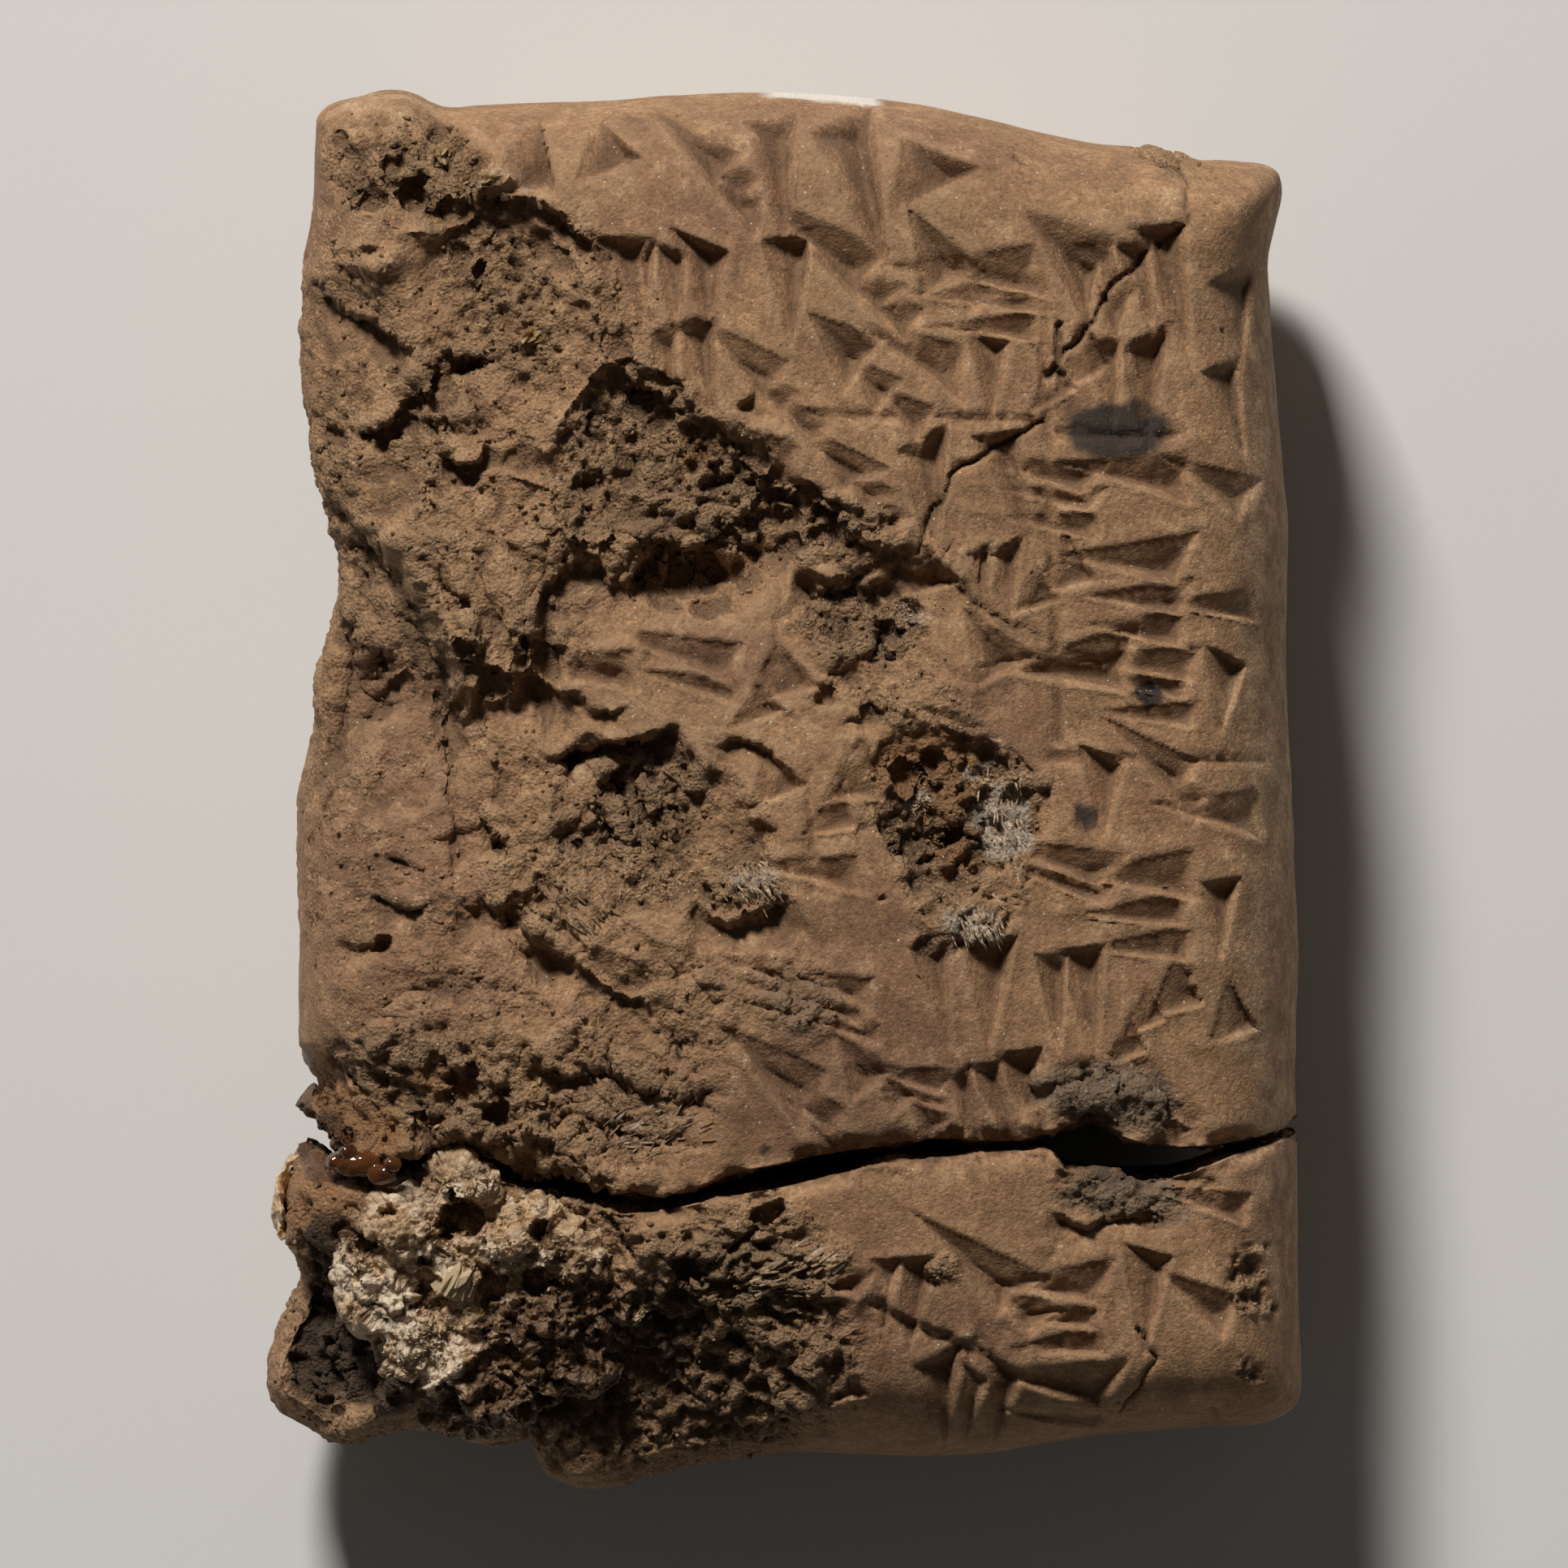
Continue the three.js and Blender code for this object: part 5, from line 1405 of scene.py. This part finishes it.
blades("salt_blades", [
    (lower, (-1.1, -18.7), (1.8, 0.7), 24, 1.1, 0.1, 8, (-8, 8)),
    (lower, (0.7, -17.8), (1.4, 0.7), 18, 1.0, 0.1, 25, (-8, 8)),
    (upper, (-5, -12.9), (2.0, 1.3), 60, 1.0, 0.07, 28, (-6, 8)),
    (upper, (-7.4, -4.9), (1.6, 1.0), 50, 0.7, 0.06, -48, (-6, 10)),
], 12, tan_salt)
blades("amber_grains", [
    (upper, (-9.5, 16.4), (0.35, 0.3), 9, 0.55, 0.17, 40, (0, 40)),
    (upper, (-11, 22.3), (1.1, 0.25), 14, 0.6, 0.16, 10, (-10, 20)),
    (upper, (-12.6, 23.3), (0.6, 0.4), 10, 0.4, 0.13, None, (0, 50)),
    (upper, (-9.2, -11.5), (1.0, 0.6), 10, 0.4, 0.12, None, (0, 50)),
    (upper, (-13.4, -12.7), (1.0, 0.5), 14, 0.4, 0.12, None, (0, 50)),
    (upper, (-3.5, 12.2), (1.0, 0.7), 12, 0.35, 0.1, None, (0, 50)),
], 14, salt_finish("amber_salt", AMBER_GRAIN, 0.25))


# ---------------------------------------------------------------------------------------------
# Clear crystal: a bundle of see-through columns of salt, grown side by side out of the crust,
# honey-coloured and glassy where the rest of the crust is cloudy.
# ---------------------------------------------------------------------------------------------
HONEY = (0.95, 0.76, 0.50, 1)
clear = bpy.data.materials.new("clear_salt")
clear.use_nodes = True
shader = clear.node_tree.nodes["Principled BSDF"]
shader.inputs["Base Color"].default_value = HONEY
shader.inputs["Transmission Weight"].default_value = 0.5
shader.inputs["Roughness"].default_value = 0.07
shader.inputs["IOR"].default_value = 1.52
blades("clear_crystal", [(crust, (-12.3, -18.7), (0.55, 0.5), 30, 1.4, 0.26, 58, (6, 34))], 13, clear)

# ---------------------------------------------------------------------------------------------
# Adhesive: an amber drop of old conservation resin with smaller beads round it. It was put on while
# runny, ran into the left end of the break and set there with a glossy skin.
# ---------------------------------------------------------------------------------------------
RESIN_BEADS = [
    ((-15.8, -14.2), (0.9, 0.5, 0.45), -0.3), ((-15.0, -14.5), (0.5, 0.35, 0.34), -0.32),
    ((-16.6, -14.0), (0.5, 0.4, 0.34), -0.4), ((-16.2, -13.7), (0.35, 0.3, 0.26), -0.25),
    ((-14.6, -14.1), (0.3, 0.26, 0.24), -0.25),
]
BEAD_GRAIN = 0.05 * MM
BEAD_UNEVEN = 0.13
SMOOTHINGS = 6
AMBER, DARK_AMBER = (0.11, 0.036, 0.008, 1), (0.045, 0.014, 0.004, 1)

resin = joined_lumps("adhesive_drop_skin", RESIN_BEADS, BEAD_GRAIN)
place, normal = places_and_normals(resin.data)
place += normal * (BEAD_UNEVEN * rough_noise(place, 0.8, 131, 3))[:, None]
resin.data.vertices.foreach_set("co", (place * MM).ravel())
softened = resin.modifiers.new("softened", "SMOOTH")
softened.iterations = SMOOTHINGS
bpy.context.view_layer.objects.active = resin
bpy.ops.object.modifier_apply(modifier="softened")
for face in resin.data.polygons:
    face.use_smooth = True
amber = bpy.data.materials.new("amber_resin")
amber.use_nodes = True
tree = amber.node_tree
shader = tree.nodes["Principled BSDF"]
murky = noise(tree, node(tree, "ShaderNodeTexCoord").outputs["Object"], 900.0, 4.0)
colour = blend(tree, spread(tree, murky, 0.35, 0.7), AMBER, DARK_AMBER)
tree.links.new(colour, shader.inputs["Base Color"])
shader.inputs["Roughness"].default_value = 0.12
shader.inputs["Transmission Weight"].default_value = 0.12
shader.inputs["IOR"].default_value = 1.53
shader.inputs["Coat Weight"].default_value = 0.6
shader.inputs["Coat Roughness"].default_value = 0.05
resin.data.materials.append(amber)
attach(resin, "root")
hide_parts("adhesive_drop")

# ---------------------------------------------------------------------------------------------
# Loose grit: crumbs of the same baked clay, a tenth to a third of a millimetre across, that broke
# off the rough stretches of both fragments and still cling there.
# ---------------------------------------------------------------------------------------------
GRIT_TRIES = 9000
GRIT_SIZE = (0.05, 0.17)
# The grit takes the stains of the clay under it, the painted cave shade among them
GRIT_STAINS = ("soot", "cave_painted_shade", "grey", "rust", "resin")
GRIT_CRUMB = 0.8
STEEPEST = 0.2           # how far a crumb's bed may lean before it falls off


def loose_grit():
    rng = np.random.default_rng(5)
    x, y = rng.uniform(-19, 19, GRIT_TRIES), rng.uniform(-25.5, 25.5, GRIT_TRIES)
    crumb = face_loss(x, y)[1]
    kept = rng.uniform(0.1, 1.0, GRIT_TRIES) < crumb
    bpy.ops.mesh.primitive_ico_sphere_add(subdivisions=1, radius=1)
    pebble = bpy.context.object
    shape = np.array([corner.co for corner in pebble.data.vertices])
    sides = [tuple(face.vertices) for face in pebble.data.polygons]
    bpy.data.objects.remove(pebble)
    points, faces = [], []
    for east, north in zip(x[kept], y[kept]):
        piece = upper if north > (upper_lip(east) + lower_lip(east)) / 2 else lower
        spot, up = face_hit(piece, east - shift[0], north - shift[1])
        if spot is None or up[2] < STEEPEST:
            continue
        size = GRIT_SIZE[0] + (GRIT_SIZE[1] - GRIT_SIZE[0]) * rng.uniform() ** 2.5
        rough = shape * rng.uniform(0.65, 1.25, (len(shape), 1)) * rng.uniform(0.6, 1.1, 3) * size
        faces += [tuple(k + len(points) for k in side) for side in sides]
        points += list(rough + spot + up * size * 0.25)
    mesh = bpy.data.meshes.new("loose_grit")
    mesh.from_pydata([tuple(point * MM) for point in np.array(points)], [], faces)
    add_mask(mesh, "crumb", np.full(len(points), GRIT_CRUMB))
    spots = np.array(points)[:, :2] + shift[:2]
    for name in GRIT_STAINS:
        add_mask(mesh, name, stain(STAINS[name], spots[:, 0], spots[:, 1]))
    for face in mesh.polygons:
        face.use_smooth = True
    grit = bpy.data.objects.new("loose_grit", mesh)
    bpy.context.collection.objects.link(grit)
    mesh.materials.append(clay)
    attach(grit, "root")


bpy.ops.object.select_all(action="DESELECT")
loose_grit()

# ---------------------------------------------------------------------------------------------
# White flake: a thin fibrous sheet of salt on the left flank of the lower fragment, which has lifted
# off the clay and curls away from it towards its torn upper edge.
# ---------------------------------------------------------------------------------------------
FLAKE_FOOT, FLAKE_HEAD = -17.0, -14.0
FLAKE_HEIGHTS = (8.6, 12.6)
FLAKE_CUTS = (60, 16)
FLAKE_THICKNESS = 0.07 * MM
FLANK_IF_MISSED = -18


def white_flake():
    bpy.ops.mesh.primitive_grid_add(x_subdivisions=FLAKE_CUTS[0], y_subdivisions=FLAKE_CUTS[1], size=1)
    flake = bpy.context.object
    flake.name = "white_flake"
    for corner in flake.data.vertices:
        along, up = corner.co[0] + 0.5, corner.co[1] + 0.5
        north = FLAKE_FOOT + (FLAKE_HEAD - FLAKE_FOOT) * along - shift[1]
        torn = 0.3 * soft_noise(np.array([[along * 9, 0.5, 0.5]]), 1.0, 147)[0]
        share = 0.1 + up * (0.75 - 0.5 * abs(along - 0.4) + torn)
        height = FLAKE_HEIGHTS[0] + (FLAKE_HEIGHTS[1] - FLAKE_HEIGHTS[0]) * share
        hit, spot = lower.ray_cast((-LOOK_FROM, north * MM, height * MM), (1, 0, 0))[:2]
        east = spot[0] / MM if hit else FLANK_IF_MISSED
        at = np.array([[along * 3, up * 14, 0.0]])
        curl = 0.32 * up * (0.7 + 0.5 * soft_noise(at, 1.0, 141)[0])
        away = 0.06 + curl + 0.08 * soft_noise(at, 0.5, 143)[0]
        corner.co = ((east - away) * MM, (north + 0.1 * soft_noise(at, 0.7, 145)[0]) * MM, height * MM)
    thickened = flake.modifiers.new("thickened", "SOLIDIFY")
    thickened.thickness = FLAKE_THICKNESS
    bpy.ops.object.modifier_apply(modifier="thickened")
    flake.data.materials.append(white_salt)
    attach(flake, "root")


bpy.ops.object.select_all(action="DESELECT")
white_flake()
